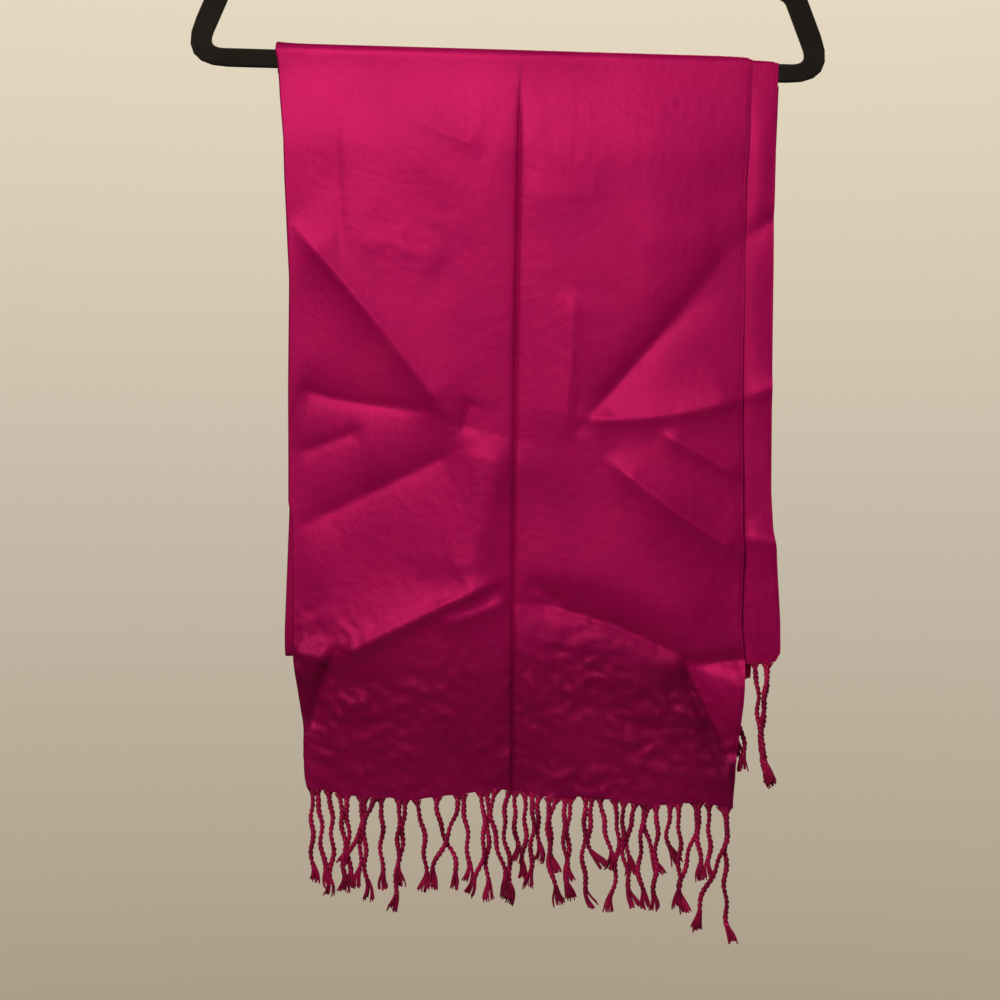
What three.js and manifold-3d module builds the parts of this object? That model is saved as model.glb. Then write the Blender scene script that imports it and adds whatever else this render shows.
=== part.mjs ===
// A fringed scarf, folded twice and hung over the bar of a slim clothes hanger.
// Millimetres, +Z up, +X to the viewer's right, the front faces -Y.
// The origin is the underside of the hook, where it rests on a rail.
import * as THREE from "three";
import { mergeVertices } from "three/addons/utils/BufferGeometryUtils.js";
import Module from "manifold-3d";

const wasm = await Module();
wasm.setup();

// Hanger sizes
const hangerWidth = 445;
const hangerThickness = 5.5;
const barHeight = 13;
const barDrop = 228; // from the rail to the bar's centre line
const tilt = THREE.MathUtils.degToRad(1.1); // the right side hangs lower
const cornerRadius = 25;
const sideLean = THREE.MathUtils.degToRad(68); // the short side members, from level
const sideTop = 62; // where a side member turns into the shoulder, above the bar's centre
const shoulderSlope = THREE.MathUtils.degToRad(24);
const shoulderRadius = 24;
const memberWidth = 15.5;
const neckHeight = 24;
const neckWidth = 22;
const edgeRound = 2;
const hookWire = 4.2;
const hookRadius = 21; // to the wire's centre line

// Cloth sizes
const wall = 2; // two plies pressed together
const ply = wall / 2;
const seamGap = 0.3;
const barClearance = 0.5;
const selvedgeStep = 2.6; // the back ply shows this far past the front one
const lapBehind = 12; // how far a front stretch laps down behind the bar
const fallGap = 2.5; // what is left between front and back falls below the bar
const closing = 60; // how fast the falls close up below the bar
const looseness = 4.5; // how far a creased fall stands off what it hangs on

// The turn over the bar, as radii of the cloth's faces about the bar's rounded top
const turnRadius = hangerThickness / 2 + barClearance;
const shortInner = turnRadius;
const shortOuter = shortInner + wall;
const longInner = shortOuter + seamGap;
const turnCentre = barHeight / 2 - hangerThickness / 2;

const cloth = new THREE.MeshStandardMaterial({ color: 0xb01c58, roughness: 0.55, metalness: 0 });
const fringeYarn = new THREE.MeshStandardMaterial({ color: 0x9c1648, roughness: 0.7, metalness: 0 });
const flock = new THREE.MeshStandardMaterial({ color: 0x35302d, roughness: 0.9, metalness: 0 });
const steel = new THREE.MeshStandardMaterial({ color: 0x8c8c90, roughness: 0.35, metalness: 1 });

// All cloth tables are in millimetres from the middle of the bar: x to the right, z up.

// Side edges of the long end's front fall: z, the fold at the left, the front ply's selvedge at the right
const longEdges = [
  { z: 12, fold: -163, selvedge: 171 },
  { z: 0, fold: -160, selvedge: 170 },
  { z: -26, fold: -158, selvedge: 169 },
  { z: -55, fold: -155, selvedge: 168 },
  { z: -83, fold: -154, selvedge: 166 },
  { z: -153, fold: -150, selvedge: 166 },
  { z: -230, fold: -150, selvedge: 165 },
  { z: -310, fold: -149, selvedge: 166 },
  { z: -326, fold: -146, selvedge: 166 },
  { z: -394, fold: -145, selvedge: 165.5 },
  { z: -420, fold: -144, selvedge: 168 },
  { z: -448, fold: -140, selvedge: 167 },
  { z: -469, fold: -137, selvedge: 165 },
  { z: -503, fold: -136, selvedge: 162 },
  { z: -517, fold: -133, selvedge: 161 },
];

// Side edges of the short end's front fall
const shortEdges = [
  { z: 12, fold: -143, selvedge: 189 },
  { z: -47, fold: -144, selvedge: 187.5 },
  { z: -107, fold: -145, selvedge: 186.7 },
  { z: -229, fold: -145, selvedge: 186.3 },
  { z: -300, fold: -143, selvedge: 186.5 },
  { z: -340, fold: -142, selvedge: 190.4 },
  { z: -390, fold: -139, selvedge: 193.6 },
  { z: -408, fold: -138, selvedge: 194 },
  { z: -420, fold: -138, selvedge: 193 },
];

// Side edges of the back loop: the outer fall, which goes on from the long end, and the inner fall,
// which goes on from the short end
const outerBackEdges = [
  { z: 12, fold: -161, selvedge: 171 },
  { z: -95, fold: -154, selvedge: 172 },
  { z: -220, fold: -150, selvedge: 171 },
  { z: -360, fold: -151, selvedge: 173 },
  { z: -425, fold: -153, selvedge: 174 },
];
const innerBackEdges = [
  { z: 12, fold: -143, selvedge: 191 },
  { z: -220, fold: -147, selvedge: 183 },
  { z: -425, fold: -153, selvedge: 174 },
];

// Hem of the long end, from the fold to the selvedge
const longHem = [
  { x: -133, z: -510 },
  { x: -105, z: -515 },
  { x: -62, z: -518 },
  { x: -40, z: -515 },
  { x: -2, z: -510 },
  { x: 22, z: -512 },
  { x: 38, z: -516 },
  { x: 63, z: -514 },
  { x: 109, z: -520 },
  { x: 141, z: -517 },
  { x: 160, z: -522 },
];
const shortHem = [
  { x: -138, z: -425 },
  { x: 197, z: -419 },
];
const loopBottom = [
  { x: -153, z: -419 },
  { x: 174, z: -434 },
];

// Creases pressed into the front: start, middle and end points, rise towards the viewer (below zero
// for a valley), and how far it eases out on its left and right sides, walking from start to end.
const frontCreases = [
  { x1: 10, z1: 13, x2: 8, z2: -237, x3: 8, z3: -515, rise: -3.2, left: 9, right: 14 },
  { x1: -152, z1: -113, x2: -91, z2: -183, x3: -30, z3: -261, rise: 6, left: 28, right: 12 },
  { x1: -23, z1: -236, x2: -26, z2: -248, x3: -30, z3: -261, rise: -1.6, left: 10, right: 10 },
  { x1: -145, z1: -230, x2: -108, z2: -239, x3: -45, z3: -246, rise: -3.2, left: 16, right: 16 },
  { x1: -144, z1: -328, x2: -83, z2: -298, x3: -26, z3: -270, rise: -3.6, left: 14, right: 22 },
  { x1: -120, z1: -421, x2: -64, z2: -393, x3: 0, z3: -361, rise: 8.4, left: 15, right: 14 },
  { x1: -46, z1: -395, x2: -17, z2: -387, x3: 5, z3: -375, rise: 3.4, left: 10, right: 12 },
  { x1: -146, z1: -413, x2: -132, z2: -417, x3: -120, z3: -422, rise: 4.5, left: 10, right: 20 },
  { x1: -119, z1: -423, x2: -126, z2: -445, x3: -135, z3: -469, rise: -3, left: 12, right: 16 },
  { x1: -1, z1: -269, x2: -12, z2: -318, x3: -24, z3: -362, rise: 2.6, left: 22, right: 20 },
  { x1: 50, z1: -262, x2: 105, z2: -194, x3: 166, z3: -130, rise: -4.2, left: 14, right: 24 },
  { x1: 47, z1: -154, x2: 45, z2: -208, x3: 42, z3: -265, rise: 2.6, left: 12, right: 12 },
  { x1: 51, z1: -249, x2: 110, z2: -248, x3: 167, z3: -234, rise: 4.2, left: 16, right: 12 },
  { x1: 111, z1: -261, x2: 138, z2: -274, x3: 165, z3: -288, rise: 2.8, left: 10, right: 10 },
  { x1: 76, z1: -280, x2: 124, z2: -317, x3: 167, z3: -342, rise: 4.6, left: 16, right: 14 },
  { x1: 12, z1: -379, x2: 69, z2: -391, x3: 132, z3: -420, rise: -4.5, left: 14, right: 9 },
  { x1: 14, z1: -389, x2: 69, z2: -401, x3: 125, z3: -430, rise: 5.4, left: 9, right: 20 },
  { x1: 132, z1: -420, x2: 150, z2: -420, x3: 169, z3: -417, rise: -4, left: 14, right: 14 },
  { x1: 131, z1: -423, x2: 140, z2: -455, x3: 164, z3: -487, rise: 6.4, left: 16, right: 12 },
  { x1: -113, z1: -464, x2: -105, z2: -453, x3: -92, z3: -450, rise: 2.4, left: 10, right: 10 },
  { x1: 128, z1: -462, x2: 137, z2: -458, x3: 148, z3: -456, rise: 1.8, left: 10, right: 10 },
  { x1: -68, z1: -34, x2: -48, z2: -44, x3: -26, z3: -52, rise: 1.2, left: 12, right: 12 },
  { x1: 94, z1: -123, x2: 119, z2: -124, x3: 147, z3: -121, rise: 1.2, left: 14, right: 14 },
  { x1: -116, z1: -128, x2: -74, z2: -131, x3: -42, z3: -145, rise: 1.4, left: 16, right: 14 },
];

// Creases of the back fall: the same folds seen from the other side of the cloth, rise away from the bar
const backCreases = [
  { x1: 10, z1: 8, x2: 8, z2: -200, x3: 9, z3: -425, rise: 4, left: 10, right: 14 },
  { x1: -156, z1: -104, x2: -96, z2: -170, x3: -29, z3: -258, rise: -3.4, left: 12, right: 12 },
  { x1: 172, z1: -100, x2: 104, z2: -186, x3: 48, z3: -262, rise: 6, left: 12, right: 22 },
  { x1: -150, z1: -262, x2: -84, z2: -268, x3: -20, z3: -292, rise: 4.5, left: 12, right: 18 },
  { x1: 44, z1: -292, x2: 104, z2: -300, x3: 168, z3: -338, rise: 4.5, left: 16, right: 12 },
  { x1: -148, z1: -330, x2: -70, z2: -372, x3: 2, z3: -362, rise: 7, left: 20, right: 12 },
  { x1: 14, z1: -366, x2: 70, z2: -396, x3: 172, z3: -388, rise: 6, left: 16, right: 14 },
  { x1: -92, z1: -60, x2: -60, z2: -72, x3: -30, z3: -70, rise: 2, left: 14, right: 14 },
];

// Twisted strands of the long fringe: x of the root, how far it has wandered at a third, at two
// thirds and at its end, and its drop below the hem
const longStrands = [
  [-132, 0, 0, 2, 66], [-129, 3, 5, 11, 69], [-121, 3, 3, 0, 74], [-113, 3, 4, 4, 69],
  [-108, 1, 2, 3, 66], [-98, 1, 0, -2, 64], [-95, 0, 1, 4, 73], [-88, -7, -15, -23, 47],
  [-84, 1, 1, 4, 65], [-71, 0, -1, -4, 78], [-67, -1, -3, -4, 61], [-59, 5, 7, 6, 64],
  [-44, 3, 12, 11, 64], [-30, -4, -14, -18, 66], [-26, 2, 4, 4, 62], [-14, 3, 1, -10, 72],
  [-10, 2, 1, 4, 77], [-3, -2, 5, 6, 76], [7, -4, 0, -2, 79], [11, -1, 1, 0, 50],
  [17, 1, 0, -2, 61], [22, 1, 0, -1, 66], [28, -2, 0, -2, 47], [34, 0, 2, 10, 75],
  [40, -5, -4, -1, 52], [46, -1, 1, 3, 71], [50, -2, -2, -2, 59], [60, -1, -1, 6, 77],
  [64, -1, -1, 10, 49], [70, 3, 7, 7, 51], [80, 3, 1, -4, 79], [87, -1, 2, 8, 74],
  [95, -4, -5, -1, 51], [101, -2, -3, 5, 73], [105, -3, 2, 8, 49], [109, 1, 0, -1, 74],
  [120, -2, -1, 6, 42], [125, 1, 1, 0, 73], [136, 0, -8, -4, 78], [140, -1, 0, 2, 55],
  [146, 1, 1, 0, 53], [155, 2, -11, -15, 87], [159, 0, 0, 5, 95],
].map(([root, third, twoThirds, end, drop]) => ({ root, third, twoThirds, end, drop }));

// The strands of the short fringe that show past the long end's right edge
const shownShortStrands = [
  [171, -4, 0, 0, 78], [178, 3, 6, 13, 85], [186, 0, -1, 8, 88], [188, -3, -4, 4, 86],
].map(([root, third, twoThirds, end, drop]) => ({ root, third, twoThirds, end, drop }));
const hiddenShortStrands = 30;

const strandWidth = 3.2;
const strandSides = 3;
const strandSteps = 4;
const strandSpread = 1.1; // strands of the front and back ply lie this far in front of and behind the hem
const stripHeight = 2.5;

// Straight-line reading of a table by one of its columns.
function tableAt(table, key, at, column) {
  const rising = table[0][key] < table[table.length - 1][key];
  const rows = rising ? table : [...table].reverse();
  if (at <= rows[0][key]) return rows[0][column];
  for (let i = 1; i < rows.length; i++) {
    if (at <= rows[i][key]) {
      const share = (at - rows[i - 1][key]) / (rows[i][key] - rows[i - 1][key]);
      return THREE.MathUtils.lerp(rows[i - 1][column], rows[i][column], share);
    }
  }
  return rows[rows.length - 1][column];
}

// A crease as a line of short chords along its curve, each with how far along it is.
const creaseChords = 10;
function chordsOf({ x1, z1, x2, z2, x3, z3 }) {
  const through = new THREE.Vector2(2 * x2 - (x1 + x3) / 2, 2 * z2 - (z1 + z3) / 2);
  const curve = new THREE.QuadraticBezierCurve(new THREE.Vector2(x1, z1), through, new THREE.Vector2(x3, z3));
  return curve.getPoints(creaseChords);
}

// The height of a set of creases at a point: sharp along the crest, easing out on either side, and
// dying away over the last quarter at each end.
function reliefOf(creases) {
  const lines = creases.map((crease) => ({ ...crease, chords: chordsOf(crease) }));
  const point = new THREE.Vector2();
  const along = new THREE.Vector2();
  const offset = new THREE.Vector2();
  return (x, z) => {
    let height = 0;
    for (const line of lines) {
      let nearest = Infinity;
      let side = 0;
      let position = 0;
      for (let i = 0; i < creaseChords; i++) {
        const start = line.chords[i];
        along.subVectors(line.chords[i + 1], start);
        point.set(x, z);
        offset.subVectors(point, start);
        const share = THREE.MathUtils.clamp(offset.dot(along) / along.lengthSq(), 0, 1);
        const distance = offset.addScaledVector(along, -share).length();
        if (distance < nearest) {
          nearest = distance;
          side = along.cross(offset);
          position = (i + share) / creaseChords;
        }
      }
      const spread = side > 0 ? line.left : line.right;
      const fade = Math.min(1, 4 * Math.min(position, 1 - position) + 0.1);
      height += line.rise * fade * Math.exp(-nearest / spread);
    }
    return height;
  };
}

const frontRelief = reliefOf(frontCreases);
const backRelief = reliefOf(backCreases);

// The height of the bar's rounded top edge line at x, from the middle of the bar.
function turnLine(x) {
  return turnCentre - x * Math.tan(tilt);
}

// How far the inner face of a fall lies from the middle plane: straight down from the bar at first,
// then closing up, and standing off again by its looseness and its creases.
function standOff(fall, x, z) {
  const drop = Math.max(0, turnLine(x) - z);
  const closed = fall.inner - (turnRadius - fallGap / 2) * (1 - Math.exp(-drop / closing));
  const standing = Math.max(fall.looseBy > 0 ? seamGap : 0, fall.looseBy + fall.relief(x, z));
  return closed + THREE.MathUtils.smoothstep(drop, 3, 70) * standing;
}

// Columns of a fall as shares of its width. The last two make the step down to the back ply.
function columnsOf(count) {
  const columns = [];
  for (let j = 0; j <= count; j++) columns.push({ share: j / count, beyond: 0, thickness: wall });
  columns.push({ share: 1, beyond: seamGap, thickness: ply });
  columns.push({ share: 1, beyond: selvedgeStep, thickness: ply });
  return columns;
}

function columnX(edges, column, z) {
  const fold = tableAt(edges, "z", z, "fold");
  const selvedge = tableAt(edges, "z", z, "selvedge");
  return THREE.MathUtils.lerp(fold, selvedge, column.share) + column.beyond;
}

// Where a column of a fall is at a share of the way from the turn to the fall's lower end.
function placeOn(fall, column, share) {
  const topX = columnX(fall.edges, column, turnCentre);
  let x = topX;
  let z = 0;
  for (let pass = 0; pass < 3; pass++) {
    z = THREE.MathUtils.lerp(turnLine(topX) - fall.top, tableAt(fall.end, "x", x, "z"), share);
    x = columnX(fall.edges, column, z);
  }
  return { x, z };
}

// The two faces of a fall, row by row from the turn downwards. Side is -1 in front and 1 behind.
function fallRows(fall, from, to) {
  const outer = [];
  const inner = [];
  const side = fall.side;
  for (let i = from; i <= to; i++) {
    const places = fall.columns.map((column) => ({ ...placeOn(fall, column, i / fall.rows), ...column }));
    inner.push(places.map(({ x, z }) => new THREE.Vector3(x, side * standOff(fall, x, z), z)));
    outer.push(places.map(({ x, z, thickness }) => {
      return new THREE.Vector3(x, side * (standOff(fall, x, z) + thickness), z);
    }));
  }
  return { outer, inner };
}

// The turn over the bar, from a straight lap behind it to where the front fall starts.
const turnSteps = 8;
function turnRows(fall) {
  const outer = [];
  const inner = [];
  for (let i = -1; i < turnSteps; i++) {
    const angle = (Math.PI * Math.max(0, i)) / turnSteps;
    const lap = i < 0 ? lapBehind : 0;
    const arcPoint = (column, radius) => {
      const x = columnX(fall.edges, column, turnCentre);
      return new THREE.Vector3(x, radius * Math.cos(angle), turnLine(x) + radius * Math.sin(angle) - lap);
    };
    outer.push(fall.columns.map((column) => arcPoint(column, fall.inner + column.thickness)));
    inner.push(fall.columns.map((column) => arcPoint(column, fall.inner)));
  }
  return { outer, inner };
}

// A closed wall between two matching grids of points.
function wallBetween(outer, inner) {
  const rows = outer.length;
  const columns = outer[0].length;
  const positions = [...outer, ...inner].flat().flatMap((point) => point.toArray());
  const faces = [];
  const quad = (a, b, c, d) => faces.push(a, b, c, a, c, d);
  const o = (i, j) => i * columns + j;
  const n = (i, j) => (rows + i) * columns + j;
  const lastRow = rows - 1;
  const lastColumn = columns - 1;
  for (let i = 0; i < lastRow; i++) {
    for (let j = 0; j < lastColumn; j++) {
      quad(o(i, j), o(i + 1, j), o(i + 1, j + 1), o(i, j + 1));
      quad(n(i, j), n(i, j + 1), n(i + 1, j + 1), n(i + 1, j));
    }
    quad(o(i, 0), n(i, 0), n(i + 1, 0), o(i + 1, 0));
    quad(o(i, lastColumn), o(i + 1, lastColumn), n(i + 1, lastColumn), n(i, lastColumn));
  }
  for (let j = 0; j < lastColumn; j++) {
    quad(o(0, j), o(0, j + 1), n(0, j + 1), n(0, j));
    quad(o(lastRow, j), n(lastRow, j), n(lastRow, j + 1), o(lastRow, j + 1));
  }
  const geometry = new THREE.BufferGeometry();
  geometry.setAttribute("position", new THREE.Float32BufferAttribute(positions, 3));
  geometry.setIndex(faces);
  geometry.computeVertexNormals();
  return geometry;
}

const flat = () => 0;
const longFall = {
  side: -1, inner: longInner, edges: longEdges, top: 0, end: longHem, relief: frontRelief,
  looseBy: looseness, rows: 38, columns: columnsOf(28),
};
const shortFall = {
  side: -1, inner: shortInner, edges: shortEdges, top: 0, end: shortHem, relief: flat,
  looseBy: 0, rows: 10, columns: columnsOf(8),
};
const outerBackFall = {
  side: 1, inner: longInner, edges: outerBackEdges, top: lapBehind + seamGap, end: loopBottom,
  relief: backRelief, looseBy: looseness, rows: 24, columns: columnsOf(18),
};
const innerBackFall = {
  side: 1, inner: shortInner, edges: innerBackEdges, top: lapBehind + seamGap, end: loopBottom,
  relief: flat, looseBy: 0, rows: 24, columns: columnsOf(18),
};

// A front stretch of cloth: its turn over the bar and its fall.
function frontStretch(fall) {
  const turn = turnRows(fall);
  const hanging = fallRows(fall, 0, fall.rows);
  return wallBetween([...turn.outer, ...hanging.outer], [...turn.inner, ...hanging.inner]);
}

// The loop at the back: down the inner fall, round its lower end and up the outer fall.
const loopSteps = 6;
const innerEvery = 4; // the flat inner fall needs only every fourth row
function backLoop() {
  const lastRow = outerBackFall.rows - 1;
  const down = fallRows(innerBackFall, 0, lastRow);
  const up = fallRows(outerBackFall, 0, lastRow);
  const outside = down.inner.filter((row, i) => i < lastRow && i % innerEvery === 0);
  const inside = down.outer.filter((row, i) => i < lastRow && i % innerEvery === 0);
  const around = (from, to, angle, short) => from[lastRow].map((a, j) => {
    const b = to[lastRow][j];
    const middle = new THREE.Vector3().addVectors(a, b).multiplyScalar(0.5);
    const depth = middle.z - tableAt(loopBottom, "x", middle.x, "z") - short;
    middle.y -= ((b.y - a.y) / 2) * Math.cos(angle);
    middle.z -= depth * Math.sin(angle);
    return middle;
  });
  for (let i = 0; i <= loopSteps; i++) {
    const angle = (Math.PI * i) / loopSteps;
    outside.push(around(down.inner, up.outer, angle, 0));
    inside.push(around(down.outer, up.inner, angle, wall));
  }
  for (let i = lastRow - 1; i >= 0; i--) {
    outside.push(up.outer[i]);
    inside.push(up.inner[i]);
  }
  return wallBetween(outside, inside);
}

// Solids joined and given back as a mesh's geometry
function solidOf(geometry) {
  const bare = geometry.clone();
  bare.deleteAttribute("normal");
  bare.deleteAttribute("uv");
  const merged = mergeVertices(bare, 1e-4);
  const mesh = new wasm.Mesh({
    numProp: 3,
    vertProperties: merged.attributes.position.array,
    triVerts: new Uint32Array(merged.index.array),
  });
  return new wasm.Manifold(mesh);
}

function geometryOf(solid) {
  const mesh = solid.getMesh();
  const geometry = new THREE.BufferGeometry();
  geometry.setAttribute("position", new THREE.BufferAttribute(mesh.vertProperties, 3));
  geometry.setIndex(new THREE.BufferAttribute(mesh.triVerts, 1));
  geometry.computeVertexNormals();
  return geometry;
}

// A narrow strip just below a fall's end, as thick as the cloth, which the strands grow from.
function hemStrip(fall) {
  const edge = fall.columns.slice(0, -2).map((column) => placeOn(fall, column, 1));
  const level = (below, extra) => edge.map(({ x, z }) => {
    return new THREE.Vector3(x, fall.side * (standOff(fall, x, z) + extra), z - below);
  });
  const outer = [level(seamGap, wall), level(seamGap + stripHeight, wall)];
  const inner = [level(seamGap, 0), level(seamGap + stripHeight, 0)];
  return wallBetween(outer, inner);
}

// One twisted strand as a slim three-sided bar along its own wandering line.
function strandSolid(fall, row, index) {
  const section = new THREE.Shape();
  for (let i = 0; i < strandSides; i++) {
    const angle = (2 * Math.PI * i) / strandSides;
    const x = (strandWidth / 2) * Math.cos(angle);
    const y = (strandWidth / 2) * Math.sin(angle);
    if (i === 0) section.moveTo(x, y);
    else section.lineTo(x, y);
  }
  const hemZ = tableAt(fall.end, "x", row.root, "z");
  const ply = index % 2 ? -strandSpread : strandSpread;
  const middle = fall.side * (standOff(fall, row.root, hemZ) + wall / 2);
  const start = seamGap + stripHeight / 2;
  const at = (shift, share, spread) => {
    const z = hemZ - start - (row.drop - start) * share;
    return new THREE.Vector3(row.root + shift, middle + ply * spread, z);
  };
  const path = new THREE.CatmullRomCurve3([
    at(0, 0, 0.2), at(row.third, 1 / 3, 1), at(row.twoThirds, 2 / 3, 1.4), at(row.end, 1, 1),
  ]);
  return solidOf(new THREE.ExtrudeGeometry(section, { steps: strandSteps, extrudePath: path }));
}

function fringeOf(fall, strands) {
  let solid = solidOf(hemStrip(fall));
  strands.forEach((row, index) => {
    solid = solid.add(strandSolid(fall, row, index));
  });
  return geometryOf(solid);
}

// The short fringe: evenly spaced where the long end hides it, then the strands that show.
function shortStrands() {
  const strands = [];
  const first = -135;
  const pitch = (shownShortStrands[0].root - 5 - first) / (hiddenShortStrands - 1);
  for (let i = 0; i < hiddenShortStrands; i++) {
    const sway = 3 * Math.sin(i * 2.4);
    const drop = 74 + 8 * Math.sin(i * 1.7);
    strands.push({ root: first + pitch * i, third: 0.4 * sway, twoThirds: sway, end: 1.3 * sway, drop });
  }
  return [...strands, ...shownShortStrands];
}

// A closed outline of straight lines with each corner rounded to its own radius.
function roundedOutline(target, corners) {
  const count = corners.length;
  corners.forEach((corner, i) => {
    const here = new THREE.Vector2(corner.x, corner.z);
    const before = corners[(i + count - 1) % count];
    const after = corners[(i + 1) % count];
    const back = new THREE.Vector2(before.x, before.z).sub(here).normalize();
    const on = new THREE.Vector2(after.x, after.z).sub(here).normalize();
    const reach = corner.radius / Math.tan(Math.acos(THREE.MathUtils.clamp(back.dot(on), -1, 1)) / 2);
    const enter = here.clone().addScaledVector(back, reach);
    const leave = here.clone().addScaledVector(on, reach);
    if (i === 0) target.moveTo(enter.x, enter.y);
    else target.lineTo(enter.x, enter.y);
    target.quadraticCurveTo(here.x, here.y, leave.x, leave.y);
  });
  target.closePath();
  return target;
}

// The hanger's flat outline, level and centred, with the rail at zero height.
function hangerOutlines() {
  const barZ = -barDrop;
  const lean = Math.PI / 2 - sideLean;
  const across = new THREE.Vector2(Math.cos(lean), Math.sin(lean));
  const cornerCentre = new THREE.Vector2(hangerWidth / 2 - cornerRadius, barZ - barHeight / 2 + cornerRadius);
  const sideX = (z, inset) => {
    return cornerCentre.x + (cornerRadius - inset - (z - cornerCentre.y) * across.y) / across.x;
  };
  const shoulderZ = barZ + sideTop;
  const shoulderX = sideX(shoulderZ, 0);
  const upper = (x) => shoulderZ + (shoulderX - x) * Math.tan(shoulderSlope);
  const under = (x) => upper(x) - memberWidth / Math.cos(shoulderSlope);
  const neckBase = upper(neckWidth / 2);
  const right = [
    { x: sideX(barZ - barHeight / 2, 0), z: barZ - barHeight / 2, radius: cornerRadius },
    { x: shoulderX, z: shoulderZ, radius: shoulderRadius },
    { x: neckWidth / 2, z: neckBase, radius: neckWidth / 2 },
    { x: neckWidth / 2, z: neckBase + neckHeight, radius: 5 },
  ];
  let innerZ = shoulderZ;
  for (let pass = 0; pass < 8; pass++) innerZ = under(sideX(innerZ, memberWidth));
  const window = [
    { x: sideX(barZ + barHeight / 2, memberWidth), z: barZ + barHeight / 2, radius: 8 },
    { x: sideX(innerZ, memberWidth), z: innerZ, radius: 8 },
    { x: neckWidth / 2, z: under(neckWidth / 2), radius: 14 },
  ];
  const mirrored = (side) => [...side, ...side.map((c) => ({ ...c, x: -c.x })).reverse()];
  const shape = roundedOutline(new THREE.Shape(), mirrored(right));
  shape.holes.push(roundedOutline(new THREE.Path(), mirrored(window)));
  return { shape, neckTop: neckBase + neckHeight };
}

const outlines = hangerOutlines();

function hangerBody() {
  const geometry = new THREE.ExtrudeGeometry(outlines.shape, {
    depth: hangerThickness - 2 * edgeRound,
    bevelThickness: edgeRound,
    bevelSize: edgeRound,
    bevelOffset: -edgeRound,
    bevelSegments: 2,
    curveSegments: 6,
  });
  geometry.translate(0, 0, edgeRound - hangerThickness / 2);
  geometry.rotateX(Math.PI / 2);
  return geometry;
}

// The hook: up from the neck, round the rail and down to its free tip.
function hangerHook() {
  const inner = hookRadius - hookWire / 2;
  const centreZ = -inner;
  const points = [
    new THREE.Vector3(0, 0, outlines.neckTop + seamGap),
    new THREE.Vector3(0, 0, outlines.neckTop + 6),
  ];
  const firstTurn = -62;
  const lastTurn = 196;
  const stepTurn = 21.5;
  for (let turn = firstTurn; turn <= lastTurn; turn += stepTurn) {
    const angle = THREE.MathUtils.degToRad(turn);
    points.push(new THREE.Vector3(hookRadius * Math.cos(angle), 0, centreZ + hookRadius * Math.sin(angle)));
  }
  const section = new THREE.Shape().absarc(0, 0, hookWire / 2, 0, 2 * Math.PI);
  const path = new THREE.CatmullRomCurve3(points);
  return new THREE.ExtrudeGeometry(section, { steps: 32, curveSegments: 4, extrudePath: path });
}

function named(name, geometry, material) {
  const mesh = new THREE.Mesh(geometry, material);
  mesh.name = name;
  return mesh;
}

const hanger = new THREE.Group();
hanger.rotation.y = tilt;
hanger.add(named("hanger_body", hangerBody(), flock));
hanger.add(named("hanger_hook", hangerHook(), steel));

const scarf = new THREE.Group();
scarf.position.set(-barDrop * Math.sin(tilt), 0, -barDrop * Math.cos(tilt));
scarf.add(named("long_end", frontStretch(longFall), cloth));
scarf.add(named("short_end", frontStretch(shortFall), cloth));
scarf.add(named("back_loop", backLoop(), cloth));
scarf.add(named("long_fringe", fringeOf(longFall, longStrands), fringeYarn));
scarf.add(named("short_fringe", fringeOf(shortFall, shortStrands()), fringeYarn));

const part = new THREE.Group();
part.add(hanger, scarf);

export default part;
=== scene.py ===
# %% [markdown]
# # A fringed scarf hung over a clothes hanger
#
# The real thing is one woven rectangle, about 0.67 m by 1.85 m, with a row of twisted fringe at each
# short end. It is folded along its length, so every stretch has two plies, then folded end to end and
# hung over the bar of a slim flocked hanger. Both fringed ends hang in front, the longer one on top,
# and the folded loop hangs behind. This lesson gives each stretch its own sheet, then adds the fringe,
# the hanger and the finishes.

# %% Load the frame
import math

import bmesh
import bpy
import numpy as np
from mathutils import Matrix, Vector


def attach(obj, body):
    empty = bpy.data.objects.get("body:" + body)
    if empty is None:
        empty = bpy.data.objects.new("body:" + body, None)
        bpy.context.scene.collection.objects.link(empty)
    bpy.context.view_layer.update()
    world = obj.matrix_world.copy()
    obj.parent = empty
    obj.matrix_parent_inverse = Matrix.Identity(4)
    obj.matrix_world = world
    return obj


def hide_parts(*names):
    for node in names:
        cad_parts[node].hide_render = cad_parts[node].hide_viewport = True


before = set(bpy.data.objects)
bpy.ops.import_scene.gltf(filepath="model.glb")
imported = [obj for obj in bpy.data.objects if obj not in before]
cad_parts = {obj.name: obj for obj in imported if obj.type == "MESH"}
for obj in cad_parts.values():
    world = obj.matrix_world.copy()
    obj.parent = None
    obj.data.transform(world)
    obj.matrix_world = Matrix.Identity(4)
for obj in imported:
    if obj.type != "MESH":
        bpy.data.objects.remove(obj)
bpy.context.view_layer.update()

scene = bpy.context.scene

# %% [markdown]
# ## Sizes
#
# Everything below is in millimetres from the middle of the hanger's bar, x to the right and z up, and is
# turned into metres from the hook at the end of each piece. Metres would do, but so the tables read like
# a maker's notes. The hanger hangs with its right side low, as the cloth sits off centre.

# %% The sizes that the cloth and the hanger share
MM = 0.001
TILT = math.radians(1.1)
BAR_DROP = 228.0  # from the rail under the hook to the middle of the bar
BAR_HEIGHT = 13.0
HANGER_THICKNESS = 5.5
WALL = 2.0  # the room that two plies take
SEAM_GAP = 0.3  # between one pair of plies and the next, on top of the bar
BAR_CLEARANCE = 0.5
LAP_BEHIND = 12.0  # the front stretches start this far down behind the bar

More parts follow.
